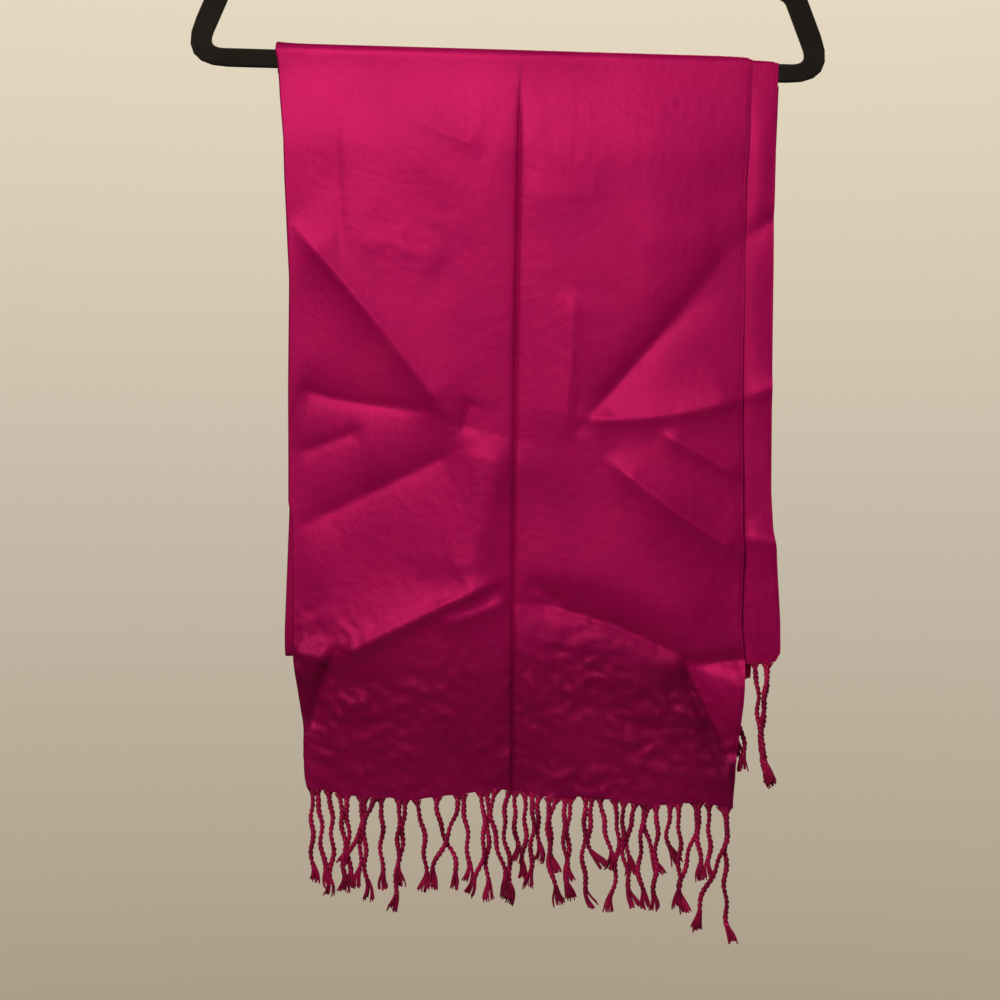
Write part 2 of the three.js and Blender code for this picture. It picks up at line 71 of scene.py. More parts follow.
TURN_RADIUS = HANGER_THICKNESS / 2 + BAR_CLEARANCE
SHORT_INNER = TURN_RADIUS
LONG_INNER = SHORT_INNER + WALL + SEAM_GAP
TURN_CENTRE = BAR_HEIGHT / 2 - HANGER_THICKNESS / 2
BAR_MIDDLE = np.array([-BAR_DROP * math.sin(TILT), 0.0, -BAR_DROP * math.cos(TILT)])
print("bar's middle", BAR_MIDDLE.round(1))

# %% [markdown]
# ## The camera
#
# The photograph is taken straight on, with the camera turned a little on its own axis. The picture spans
# about 0.70 m where the cloth hangs. A camera can be matched by eye. Here its lens comes from that span
# and its distance, so the framing stays right if the distance is changed.

# %% Camera
PICTURE_SPAN = 702.0
CAMERA_DISTANCE = 1250.0
CAMERA_ROLL = math.radians(0.55)
PICTURE_CENTRE = np.array([-6.6, -9.0, -535.2])

lens = bpy.data.cameras.new("camera")
lens.sensor_width = 36.0
lens.lens = lens.sensor_width * CAMERA_DISTANCE / PICTURE_SPAN
camera = bpy.data.objects.new("camera", lens)
camera.location = Vector(PICTURE_CENTRE * MM) + Vector((0, -CAMERA_DISTANCE * MM, 0))
camera.rotation_euler = (math.pi / 2, -CAMERA_ROLL, 0)
scene.collection.objects.link(camera)
scene.camera = camera
print("lens", round(lens.lens, 1), "mm")

# %% [markdown]
# ## Edges and hems
#
# Cloth that hangs free is never a true rectangle. Each table gives where the folded edge and the selvedge
# run at a few heights, and each hem gives the height of the lower end across the width. They could be
# drawn as curves, but rows of numbers are easier to hold against the real cloth one by one.

# %% Edge and hem tables
LONG_EDGES = [  # z, fold, selvedge
    (12, -163, 171), (0, -160, 170), (-26, -158, 169), (-55, -155, 168), (-83, -154, 166),
    (-153, -150, 166), (-230, -150, 165), (-310, -149, 166), (-326, -146, 166), (-342, -146, 167),
    (-394, -145, 165.5), (-420, -144, 168), (-448, -140, 167), (-469, -137, 165), (-488, -137, 163),
    (-503, -136, 162), (-517, -133, 161),
]
SHORT_EDGES = [
    (12, -143, 189), (-47, -144, 187.5), (-107, -145, 186.7), (-229, -145, 186.3), (-300, -143, 186.5),
    (-328, -142, 188.2), (-340, -142, 190.4), (-390, -139, 193.6), (-413, -138, 194), (-421, -138, 189.5),
]
OUTER_BACK_EDGES = [
    (12, -161, 171), (-95, -154, 172), (-220, -150, 171), (-360, -151, 173), (-425, -153, 174),
]
INNER_BACK_EDGES = [(12, -143, 191), (-220, -147, 183), (-425, -153, 174)]

LONG_HEM = [  # x, z
    (-133, -510), (-105, -515), (-62, -518), (-40, -515), (-2, -510), (22, -512), (38, -516),
    (63, -514), (109, -520), (141, -517), (160, -522),
]
SHORT_HEM = [(-138, -425), (197, -419)]
LOOP_BOTTOM = [(-153, -419), (174, -434)]


def read_table(table, key, at, column):
    """A column's value where the key column has the value at, in straight steps between the rows."""
    rows = np.array(sorted(table, key=lambda row: row[key]), dtype=float)
    return np.interp(at, rows[:, key], rows[:, column])


print("the long end's hem is", -read_table(LONG_HEM, 0, 0, 1).round(1), "mm below the bar's middle")

# %% [markdown]
# ## Creases
#
# This scarf was folded small before it was hung, so it keeps a star of pressed creases on each side of its
# centre fold. A crease is a short curve through three points, with a rise, above zero for a ridge and
# below for a valley, and two widths that say how softly it eases out to its left and right. The crest is
# a thin sharp line along its top, and 0 makes a soft swell. What is a ridge on one half is a valley on
# the other, because they were folded face to face. A cloth simulation would make creases of its own:
# these have to lie where the real scarf's lie, so they are placed one by one.

# %% Crease tables
FRONT_CREASES = [  # x1, z1, x2, z2, x3, z3, rise, left, right, crest
    (-152, -113, -91, -183, -30, -261, 4.8, 24, 13, 0.5),
    (-23, -236, -26, -248, -30, -261, -1.2, 8, 8, -0.8),
    (-145, -230, -108, -239, -45, -246, -2.6, 16, 16, -0.9),
    (-146, -276, -122, -268, -98, -258, -1.6, 8, 10, -0.4),
    (-144, -328, -83, -298, -26, -270, -3.2, 14, 22, -0.4),
    (-122, -422, -64, -393, 2, -361, 7.0, 17, 10, 1.2),
    (-46, -395, -17, -387, 5, -375, 3.0, 8, 14, 0.8),
    (-146, -413, -132, -417, -120, -422, 4.5, 9, 20, 0.8),
    (-118, -420, -126, -445, -137, -474, -3.4, 12, 12, -0.8),
    (-2, -262, -14, -318, -27, -372, 3.2, 14, 24, 0),
    (50, -262, 112, -188, 188, -107, -4.2, 11, 17, -0.6),
    (48, -160, 46, -208, 42, -268, 1.5, 15, 11, 0.4),
    (51, -249, 110, -248, 174, -232, 3.8, 16, 10, 0.5),
    (110, -260, 138, -274, 172, -292, 2.4, 8, 9, 1.0),
    (72, -277, 124, -317, 174, -346, 4.4, 16, 11, 0.5),
    (12, -379, 69, -391, 134, -421, -3.8, 14, 7, -0.7),
    (14, -356, 74, -366, 140, -396, 2.0, 22, 12, 0),
    (17, -364, 30, -372, 45, -379, -1.6, 6, 6, -0.6),
    (124, -421, 148, -420, 176, -417, -3.2, 10, 8, -0.9),
    (128, -421, 141, -455, 162, -492, -4.2, 12, 12, -1.0),
    (-113, -464, -105, -453, -92, -450, 2.0, 8, 8, 0.8),
    (128, -462, 137, -458, 148, -456, 1.6, 8, 8, 0.6),
    (-72, -36, -44, -50, -16, -61, 0.8, 24, 6, 0.3),
    (90, -124, 119, -124, 150, -121, 0.7, 16, 12, 0),
    (-116, -128, -74, -131, -42, -145, 0.9, 16, 14, 0),
    (-74, -72, -42, -80, 2, -93, 0.8, 24, 14, 0),
    (12, -88, 40, -93, 72, -84, 0.7, 22, 12, 0),
    (-122, -21, -118, -84, -114, -141, -0.3, 3, 3, -0.5),
]
STRIP_CREASES = [
    (162, -128, 178, -115, 196, -100, -2.4, 8, 10, -1.0),
    (160, -237, 177, -231, 196, -222, 2.6, 10, 8, 1.0),
    (160, -340, 179, -333, 200, -341, 3.0, 8, 12, 1.0),
    (180, 3, 180, -60, 178, -120, 1.0, 6, 6, 0.2),
    (174, -249, 179, -291, 177, -327, -1.0, 6, 6, -0.2),
]
BACK_CREASES = [
    (10, 8, 8, -200, 9, -425, 4, 10, 14, 0.8),
    (-156, -104, -96, -170, -29, -258, -3.4, 12, 12, -0.8),
    (172, -100, 104, -186, 48, -262, 6, 12, 22, 0.8),
    (-150, -255, -90, -260, -28, -270, -3.0, 12, 18, -0.6),
    (48, -270, 108, -298, 172, -336, 3.6, 16, 12, 0.8),
    (-150, -338, -88, -312, -26, -282, -3.4, 14, 20, -0.5),
    (50, -262, 110, -256, 172, -240, 3.2, 16, 12, 0.8),
    (-92, -60, -60, -72, -30, -74, 0.9, 20, 10, 0),
]
CHORDS = 10  # straight steps along a crease's curve
CREST_WIDTH = 2.6
CRISP, SWELL = 0.5, 7.0  # how rounded the top of a crease is, with a crest and without one
FADE_START, FADE_RATE = 0.1, 5.5  # the share of its height at a crease's ends, and how fast it grows
CENTRE_FOLD = [(13, 10), (0, 9.5), (-237, 7.5), (-520, 8)]  # z, x
FLAP_LINE = ((128, -421), (162, -492))  # the corner below the short end's hem turns forward here, and gets painted light
TUCK_SHADE_LINE = ((-137, -474), (-118, -420))  # and the other corner is tucked back here, and gets painted shade
FOLD_DIP, FOLD_REACH = 1.4, 9.0
FOLD_NICK, NICK_REACH = 2.3, 1.2


def crease_height(creases, x, z):
    """The height of all the creases at the points x, z: sharp at each crest and dying away at its ends."""
    height = np.zeros_like(x)
    for x1, z1, x2, z2, x3, z3, rise, left, right, crest in creases:
        start, end = np.array([x1, z1], float), np.array([x3, z3], float)
        through = 2 * np.array([x2, z2]) - (start + end) / 2
        share = np.linspace(0, 1, CHORDS + 1)[:, None]
        line = (1 - share) ** 2 * start + 2 * share * (1 - share) * through + share**2 * end
        nearest = np.full_like(x, np.inf)
        side = np.zeros_like(x)
        place = np.zeros_like(x)
        for i in range(CHORDS):
            along = line[i + 1] - line[i]
            dx, dz = x - line[i, 0], z - line[i, 1]
            part = np.clip((dx * along[0] + dz * along[1]) / (along @ along), 0, 1)
            distance = np.hypot(dx - along[0] * part, dz - along[1] * part)
            closer = distance < nearest
            nearest = np.where(closer, distance, nearest)
            side = np.where(closer, along[0] * dz - along[1] * dx, side)
            place = np.where(closer, (i + part) / CHORDS, place)
        spread = np.where(side > 0, left, right)
        rounded = SWELL if crest == 0 else CRISP
        eased = np.hypot(nearest, rounded) - rounded
        fade = np.minimum(1, FADE_RATE * np.minimum(place, 1 - place) + FADE_START)
        height += fade * (rise * np.exp(-eased / spread) + crest * np.exp(-nearest / CREST_WIDTH))
    return height


def past_line(line, x, z):
    """How far the points x, z are to the left of a line from its first end to its second."""
    (x1, z1), (x2, z2) = line
    return ((x2 - x1) * (z - z1) - (z2 - z1) * (x - x1)) / math.hypot(x2 - x1, z2 - z1)


def centre_fold(x, z):
    """The pressed fold down the middle: a shallow trough with a sharp nick at the bottom of it."""
    away = np.abs(x - read_table(CENTRE_FOLD, 0, z, 1))
    return -FOLD_DIP * np.exp(-away / FOLD_REACH) - FOLD_NICK * np.exp(-away / NICK_REACH)


print("creases:", len(FRONT_CREASES), len(STRIP_CREASES), len(BACK_CREASES))

# %% [markdown]
# ## Crinkle
#
# Between the creases the thin twill is never flat: it keeps broad hand-sized waves, and near the hems,
# where twisting the fringe has drawn the threads together, it is puckered all over. Smooth value noise
# on a seeded lattice makes both. A Displace modifier would do for the waves, but the puckers have to know
# how far the hem is. It is worked out with numpy, as moving the points one at a time would be slow.

# %% Seeded noise
LATTICE_SIZE = 64
LATTICE = np.random.default_rng(11).random((LATTICE_SIZE, LATTICE_SIZE))


def noise(x, z, size_x, size_z, shift=0.0):
    """Smooth noise from -1 to 1, with features about size_x wide and size_z tall."""
    u, v = x / size_x + 7.3 + shift, z / size_z + 3.1 - shift
    i, j = np.floor(u).astype(int), np.floor(v).astype(int)
    a, b = u - i, v - j
    a, b = a * a * (3 - 2 * a), b * b * (3 - 2 * b)
    corner = lambda p, q: LATTICE[(i + p) % LATTICE_SIZE, (j + q) % LATTICE_SIZE]
    low = corner(0, 0) * (1 - a) + corner(1, 0) * a
    high = corner(0, 1) * (1 - a) + corner(1, 1) * a
    return 2 * (low * (1 - b) + high * b) - 1


def smooth(value, low, high):
    """A soft step from 0 at low to 1 at high."""
    share = np.clip((value - low) / (high - low), 0, 1)
    return share * share * (3 - 2 * share)


# %% Waves, puckers and flutes
WAVES = [(1.2, 75, 60, 0.0), (0.5, 30, 34, 5.0)]  # height, width, length, place in the lattice
CALM_WAVES = 0.6  # the waves' share away from the hem
PUCKERS = [  # height, two slants, width, length, place
    (2.0, 0.6, -0.5, 8.5, 12, 2.0),
    (1.6, -0.7, 0.3, 11, 7, 9.0),
]
PUCKER_LEVEL = 0.35  # taken off each pucker, so that they sink as well as rise
PATCH_LEVEL, PATCH_RANGE = 0.75, 0.6  # puckers are stronger in some patches
HEM_REACH = (70, 150)  # how far above the hem the puckers die away
SCATTER = 0.16  # the share of the puckers that some patches far from the hem keep
FLUTE_HEIGHT, FLUTE_REACH = 1.3, 13  # small upright folds between the strands


def crinkle(x, z, end_z, crushed):
    """Waves all over, and puckers that grow towards a crushed hem at the height end_z."""
    above = z - end_z
    near_hem = crushed * (1 - smooth(above, *HEM_REACH))
    waves = sum(rise * noise(x, z, wide, tall, shift) for rise, wide, tall, shift in WAVES)
    ridges = 0
    for rise, slant_x, slant_z, wide, tall, shift in PUCKERS:
        slanted = noise(x + slant_x * z, z + slant_z * x, wide, tall, shift)
        ridges = ridges + rise * ((1 - np.abs(slanted)) ** 2 - PUCKER_LEVEL)
    puckers = ridges * (PATCH_LEVEL + PATCH_RANGE * noise(x, z, 34, 30, 4.0))
    scattered = SCATTER * smooth(noise(x, z, 60, 60, 6.0), 0.1, 0.8)
    fluted = crushed * np.exp(-np.maximum(0, above) / FLUTE_REACH)
    flutes = fluted * FLUTE_HEIGHT * noise(x, z, 5.5, 60, 8.0)
    calmed = CALM_WAVES + (1 - CALM_WAVES) * near_hem
    return waves * calmed + puckers * (near_hem + scattered) + flutes


print("lattice", LATTICE.shape)

# %% [markdown]
# ## Where a fall of cloth lies
#
# A fall hangs straight down from the bar, closes up towards the cloth behind it, and stands off again by
# its looseness and creases. Each could be sculpted on its own, but one rule lets them nest like real
# layers: a valley comes softly to rest, and the selvedges lie flatter. Below the short end's hem nothing
# is behind the right corner, so there it turns forward.

# %% The surface of a fall
FALL_GAP = 2.5  # what stays open between the falls on the two sides of the bar
CLOSING = 60.0  # how far down they close up
SETTLING = (3, 70)  # the drop over which a fall takes its own shape
SHOWING = 8  # the width over which a hidden part, left flat, gives way to a shown one
SOFT_STOP = 0.5  # how softly a valley comes to rest
PRESSED = (100.0, 170.0)  # across here a fall grows flatter towards its selvedges
UNBACKED = (385, 425)  # and over these depths it is let go again
LEANING, LEAVING = (260, 400), (405, 500)  # the depths where it leans out, and back again
CORNER_LIFT, CORNER_REACH, CORNER_TOP = 6.0, 34, (412, 440)  # the free corner stands off
FOLD_SHARE = 0.5  # the centre fold follows the thread at this share of the width
HEM_POINT, HEM_POINT_REACH = 2.2, 2.2


def turn_line(x):
    """The height of the middle of the turn at x, which follows the bar's tilt."""
    return TURN_CENTRE - x * math.tan(TILT)


def stand_off(fall, x, z):
    """How far a fall's inner face is from the middle plane."""
    drop = np.maximum(0, turn_line(x) - z)
    closed = fall["inner"] - (TURN_RADIUS - FALL_GAP / 2) * (1 - np.exp(-drop / CLOSING))
    end_z = read_table(fall["end"], 0, x, 1)
    shape = fall["relief"] * crease_height(fall["creases"], x, z)
    shape = shape + fall["crinkle"] * crinkle(x, z, end_z, fall["crushed"])
    if fall["creases"] is FRONT_CREASES:
        shape += centre_fold(x, z)
        corner = smooth(past_line(FLAP_LINE, x, z), 0, CORNER_REACH)
        shape += CORNER_LIFT * corner * smooth(-z, *CORNER_TOP)
    seen = smooth(x, fall["shows_from"], fall["shows_from"] + SHOWING)
    shape = (shape + fall["shown_loose"]) * seen
    backed = 1 - smooth(-z, *UNBACKED)
    loose = fall["loose"] * (1 - fall["pressed"] * backed * smooth(x, *PRESSED))
    loose += fall["lean"] * (smooth(-z, *LEANING) - 2 * smooth(-z, *LEAVING))
    spare = (loose + shape - fall["least"]) / SOFT_STOP
    standing = fall["least"] + SOFT_STOP * np.logaddexp(0, spare)
    return closed + smooth(drop, *SETTLING) * standing


def place_on(fall, share, beyond, down):
    """The x and z of a point of a fall, from its share of the width and of the way down."""
    def across(z):
        fold, selvedge = (read_table(fall["edges"], 0, z, column) for column in (1, 2))
        centre = read_table(CENTRE_FOLD, 0, z, 1)
        left = fold + (centre - fold) * share / FOLD_SHARE
        right = selvedge - (selvedge - centre) * (1 - share) / (1 - FOLD_SHARE)
        return np.where(share < FOLD_SHARE, left, right) + beyond
    top_x = across(np.full_like(share, TURN_CENTRE))
    x = top_x
    for _ in range(3):  # x and z depend on each other, and settle in a few rounds
        end_z = read_table(fall["end"], 0, x, 1) + hem_points(fall, x)
        z = (turn_line(top_x) - fall["top"]) * (1 - down) + end_z * down
        x = across(z)
    return x, z


def hem_points(fall, x):
    """The hem is drawn down into a small point where each strand of fringe starts."""
    drawn = np.zeros_like(x)
    for root in fall["roots"]:
        drawn = np.minimum(drawn, -HEM_POINT * np.exp(-np.abs(x - root) / HEM_POINT_REACH))
    return drawn


print("the bar leans", round(float(turn_line(-150) - turn_line(150)), 1), "mm across 300 mm")

# %% [markdown]
# ## The fringe's places
#
# Each strand is a row: where its root is on the hem, how far it has wandered sideways at a third, at two
# thirds and at its end, and how far it drops. A scatter of copies would be more even than a real fringe.
# The long end's rows follow the photograph. The short end's are mostly hidden, so a loop spaces them, and
# the last four show.

# %% Strand tables
LONG_STRANDS = [  # root, third, two thirds, end, drop
    (-132, 0, 0, 2, 66), (-129, 3, 5, 11, 69), (-121, 3, 3, 0, 74), (-113, 3, 4, 4, 69),
    (-108, 1, 2, 3, 66), (-98, 1, 0, -2, 64), (-95, 0, 1, 4, 73), (-88, -7, -15, -23, 47),
    (-84, 1, 1, 4, 65), (-71, 0, -1, -4, 78), (-67, -1, -3, -4, 61), (-59, 5, 7, 6, 64),
    (-44, 3, 12, 11, 64), (-30, -4, -14, -18, 66), (-26, 2, 4, 4, 62), (-14, 3, 1, -10, 72),
    (-10, 2, 1, 4, 77), (-3, -2, 5, 6, 76), (7, -4, 0, -2, 79), (11, -1, 1, 0, 50),
    (17, 1, 0, -2, 61), (22, 1, 0, -1, 66), (28, -2, 0, -2, 47), (34, 0, 2, 10, 75),
    (40, -5, -4, -1, 52), (46, -1, 1, 3, 71), (50, -2, -2, -2, 59), (60, -1, -1, 6, 77),
    (64, -1, -1, 10, 49), (70, 3, 7, 7, 51), (80, 3, 1, -4, 79), (87, -1, 2, 8, 74),
    (95, -4, -5, -1, 51), (101, -2, -3, 5, 73), (105, -3, 2, 8, 49), (109, 1, 0, -1, 74),
    (120, -2, -1, 6, 42), (125, 1, 1, 0, 73), (136, 0, -8, -4, 78), (140, -1, 0, 2, 55),
    (146, 1, 1, 0, 53), (155, 2, -11, -15, 87), (159, 0, 0, 5, 95),
]
SHOWN_SHORT_STRANDS = [
    (171, -4, 0, 0, 78), (178, 3, 6, 13, 85), (186, 0, -1, 8, 88), (188, -3, -4, 4, 86),
]
HIDDEN_SHORT_STRANDS = 30
FIRST_HIDDEN, LAST_HIDDEN = -135, 166  # the roots of the first and the last of them


def short_strands():
    """The short end's strands: evenly spaced where they are hidden, then the ones that show."""
    rows = []
    pitch = (LAST_HIDDEN - FIRST_HIDDEN) / (HIDDEN_SHORT_STRANDS - 1)
    for i in range(HIDDEN_SHORT_STRANDS):
        sway = 3 * math.sin(i * 2.4)
        drop = 74 + 8 * math.sin(i * 1.7)
        rows.append((FIRST_HIDDEN + pitch * i, 0.4 * sway, sway, 1.3 * sway, drop))
    return rows + SHOWN_SHORT_STRANDS


SHORT_STRANDS = short_strands()
print(len(LONG_STRANDS) + len(SHORT_STRANDS), "strands")

# %% [markdown]
# ## Four falls
#
# The cloth hangs in four layers: the short end and over it the long end in front, and the two sides of the
# loop behind. Each could have code of its own, but a plain layer, and beside it how each one differs,
# says more clearly what makes them look as they do.

# %% The four falls
LOOSENESS = 6.2  # how far the shown falls stand off the layer behind
PLAIN_FALL = dict(
    side=1,  # -1 in front of the bar, 1 behind it
    inner=SHORT_INNER,  # how far its turn is from the middle plane
    top=0.0,  # how far below the turn it starts
    creases=[], relief=0.0,  # its creases, and how deep they are drawn
    crinkle=0.0, crushed=0,  # its waves and puckers, and how crushed its hem is
    loose=0.0, least=0.0,  # how far it stands off, and the least that a valley leaves
    pressed=0, lean=0,  # how flat its selvedges lie, and how far its lower part leans out
    shows_from=-300, shown_loose=0,  # where it comes into view, and how far it stands off there
    roots=[], hang_back=0.0,  # where strands of fringe start, and how far back they hang
)
LONG_FALL = dict(
    PLAIN_FALL, side=-1, inner=LONG_INNER, edges=LONG_EDGES, end=LONG_HEM, creases=FRONT_CREASES,
    relief=1.3, crinkle=1.0, crushed=1, loose=LOOSENESS, least=0.55, pressed=0.6, lean=2.2,
    roots=[row[0] for row in LONG_STRANDS],
)
SHORT_FALL = dict(
    PLAIN_FALL, side=-1, edges=SHORT_EDGES, end=SHORT_HEM, creases=STRIP_CREASES,
    relief=1.0, crinkle=0.6, crushed=0.4, least=-1.2, shows_from=167, shown_loose=1.8,
    roots=[row[0] for row in SHORT_STRANDS], hang_back=5.0,
)
OUTER_BACK_FALL = dict(
    PLAIN_FALL, inner=LONG_INNER, top=LAP_BEHIND, edges=OUTER_BACK_EDGES, end=LOOP_BOTTOM,
    creases=BACK_CREASES, relief=1.2, crinkle=1.0, loose=LOOSENESS, least=0.3, pressed=0.4,
)
INNER_BACK_FALL = dict(PLAIN_FALL, top=LAP_BEHIND, edges=INNER_BACK_EDGES, end=LOOP_BOTTOM)
print("the long end stands off", stand_off(LONG_FALL, np.zeros(1), np.full(1, -250.0)).round(1), "mm")

# %% [markdown]
# ## Two plies and a rolled fold
#
# Each stretch is a sheet folded in two. The columns of its mesh run along the outer ply from the selvedge
# to the fold, round a soft roll, and back along the inner ply. That one ends a little past the other,
# hangs back from its creases and sags at its free edge. A level says how deep in the pair a column lies.
# Two flat sheets would be simpler, but would have a seam where the real cloth has none.

# %% Columns across a folded stretch
FOLDED_WIDTH = 330.0
SELVEDGE_STEP = 2.6  # how far the inner ply ends past the outer one
PLY_LEVEL = 0.55  # a ply's middle, from the middle of the pair
ROLL_PUFF, INNER_PUFF = 1.0, 0.1  # how open the fold's roll is, on its outer and inner side
ROLL_REACH = 7.0  # how far from the fold the plies are still apart
ROLL_STEPS = 8
ROLL_DEPTH = 1.3  # how far the roll reaches past the fold, for its height
SELVEDGE_SINK = 0.75  # how far the outer ply settles at its free edge
SELVEDGE_REACH = 9.0
INNER_SINK = 1.1  # how far the hidden ply hangs behind the shown one, clear of its creases
INNER_CLEAR, INNER_DEPTH = (5, 20), (12, 70)  # where that starts, from its edges and the bar
FOLD_CROWD, FOLD_CROWD_WIDTH = 3.5, 0.018  # how much closer columns are round the centre fold
EDGE_CROWD, EDGE_CROWD_WIDTH = 1.5, 0.01  # and near both edges


def crowded(count):
    """Shares from 0 to 1, closer together round the centre fold and near both edges."""
    even = np.linspace(0, 1, 2001)
    need = 1 + FOLD_CROWD * np.exp(-((even - FOLD_SHARE) / FOLD_CROWD_WIDTH) ** 2)
    need += sum(EDGE_CROWD * np.exp(-away / EDGE_CROWD_WIDTH) for away in (even, 1 - even))
    passed = np.concatenate([[0], np.cumsum((need[1:] + need[:-1]) / 2)])
    return np.interp(np.linspace(0, passed[-1], count), passed, even)


def folded_columns(outer_count, inner_count, sag=0.45, puff=ROLL_PUFF):
    """Share of the width, x beyond it, level and sinking, for every column across both plies."""
    outer = crowded(outer_count)[::-1]
    inner = crowded(inner_count)
    turn = np.linspace(0, math.pi, ROLL_STEPS + 2)[1:-1]
    by_fold = lambda share: np.exp(-share * FOLDED_WIDTH / ROLL_REACH)
    by_edge = lambda share: np.exp((share - 1) * FOLDED_WIDTH / SELVEDGE_REACH)
    front = WALL / 2 + PLY_LEVEL + puff * by_fold(outer) - SELVEDGE_SINK * by_edge(outer)
    back = WALL / 2 - PLY_LEVEL + INNER_PUFF * by_fold(inner) - sag * by_edge(inner)
    middle, reach = (front[-1] + back[0]) / 2, (front[-1] - back[0]) / 2
    share = np.concatenate([outer, np.zeros_like(turn), inner])
    level = np.concatenate([front, middle + reach * np.cos(turn), back])
    beyond = np.concatenate([outer * 0, -reach * np.sin(turn) * ROLL_DEPTH, inner * SELVEDGE_STEP])
    sunk = smooth(np.minimum(inner, 1 - inner) * FOLDED_WIDTH, *INNER_CLEAR)
    return share, beyond, level, np.concatenate([outer * 0, turn * 0, sunk])


def fall_points(fall, columns, downs):
    """The points of a fall, a row for each share of the way down."""
    share, beyond, level, sunk = columns
    rows = []
    for down in downs:
        x, z = place_on(fall, share, beyond, down)
        out = stand_off(fall, x, z) + level - INNER_SINK * sunk * smooth(-z, *INNER_DEPTH)
        rows.append(np.stack([x, fall["side"] * out, z], axis=1))
    return np.array(rows)


def turn_points(fall, columns, angles):
    """The points of the turn over the bar, after a short straight lap behind it."""
    share, beyond, level, _ = columns
    x, _ = place_on(fall, share, beyond, 0.0)
    rows = [np.stack([x, fall["inner"] + level, turn_line(x) - LAP_BEHIND], axis=1)]
    radius = fall["inner"] + level
    for angle in angles:
        height = turn_line(x) + radius * np.sin(angle)
        rows.append(np.stack([x, radius * np.cos(angle), height], axis=1))
    return np.array(rows)


print(len(folded_columns(146, 44)[0]), "columns across the long end")

# %% [markdown]
# ## Painted light and shade on the cloth
#
# Twill takes the light another way where it is crushed: painted shade darkens it by the hem, in the
# centre fold and on the tucked corner, painted light lightens the corner that turns forward, and painted
# shade darkens a band beside it. Creases too fine for the mesh cause that. They could be a bump, but
# painted shading at each vertex, times the dye, is enough.

# %% Painted light and shade on the long end
# How much painted shade darkens the dye and painted light lightens it, and where
HEM_PAINTED_SHADE, HEM_PAINTED_SHADE_DEPTH = 0.29, (372, 440)
FLAP_PAINTED_LIGHT, FLAP_LIGHT_EDGE, FLAP_LIGHT_DEPTH = 0.28, 1.5, (417, 421)
FLAP_LIGHT_LOSS, FLAP_LIGHT_LOSS_DEPTH = 0.5, (430, 490)  # the turned corner's painted light fades towards its tip
PAINTED_SHADE_BESIDE_FLAP, SHADED_REACH, SHADED_DEPTH = 0.22, 22, (417, 430)
TUCKED_PAINTED_SHADE, TUCKED_SHADE_EDGE, TUCKED_SHADE_DEPTH = 0.18, 2, (414, 424)
FOLD_PAINTED_SHADE, FOLD_PAINTED_SHADE_REACH, FOLD_PAINTED_SHADE_DEPTH = 0.22, 1.2, (-8, 5)


def painted_cloth_shading(fall, rows):
    """Painted light and shade on the dye at each point: 1 all over, but for the long end."""
    x, z = rows[:, :, 0], rows[:, :, 2]
    if fall is not LONG_FALL:
        return np.ones_like(x)
    past_flap = past_line(FLAP_LINE, x, z)
    # painted shade by the crushed hem
    crushed = smooth(-z, *HEM_PAINTED_SHADE_DEPTH)
    # painted light on the corner that turns forward
    painted_flap_light = smooth(past_flap, 0, FLAP_LIGHT_EDGE) * smooth(-z, *FLAP_LIGHT_DEPTH)
    painted_flap_light = painted_flap_light * (1 - FLAP_LIGHT_LOSS * smooth(-z, *FLAP_LIGHT_LOSS_DEPTH))
    # painted shade in a band beside the corner that turns forward
    beside = np.exp(-np.maximum(0, -past_flap) / SHADED_REACH)
    shaded = beside * smooth(-z, *SHADED_DEPTH) * (1 - painted_flap_light)
    # painted shade on the tucked corner
    painted_tuck_shade = smooth(past_line(TUCK_SHADE_LINE, x, z), 0, TUCKED_SHADE_EDGE) * smooth(-z, *TUCKED_SHADE_DEPTH)
    # painted shade along the centre fold; nick is its mask
    from_fold = np.abs(x - read_table(CENTRE_FOLD, 0, z, 1))
    nick = np.exp(-from_fold / FOLD_PAINTED_SHADE_REACH) * smooth(-z, *FOLD_PAINTED_SHADE_DEPTH)
    return (1 - HEM_PAINTED_SHADE * crushed + FLAP_PAINTED_LIGHT * painted_flap_light - PAINTED_SHADE_BESIDE_FLAP * shaded
            - TUCKED_PAINTED_SHADE * painted_tuck_shade - FOLD_PAINTED_SHADE * nick)


# %% [markdown]
# ## From a grid to a sheet of cloth
#
# A cut of cloth starts flat, and so does this one: Blender's grid gives the faces and the UV map, and each
# vertex is then laid on the surface that the falls describe. A simulation could drape the grid, but not
# into this very drape. The UV map is in metres of flat cloth, so the weave keeps one scale. The Solidify
# modifier gives each ply its thickness, so the edges show cloth and not a paper line.

# %% Making a sheet
PLY_THICKNESS = 0.5
FLAT_WIDTH = 0.668


def to_frame(points):
    """Millimetres from the bar's middle as metres in the part's frame."""
    return (points + BAR_MIDDLE) * MM


def as_piece(bm, name, material):
    """A piece of the scene from a finished bmesh."""
    mesh = bpy.data.meshes.new(name)
    bm.to_mesh(mesh)
    bm.free()
    mesh.materials.append(material)
    piece = bpy.data.objects.new(name, mesh)
    scene.collection.objects.link(piece)
    return piece


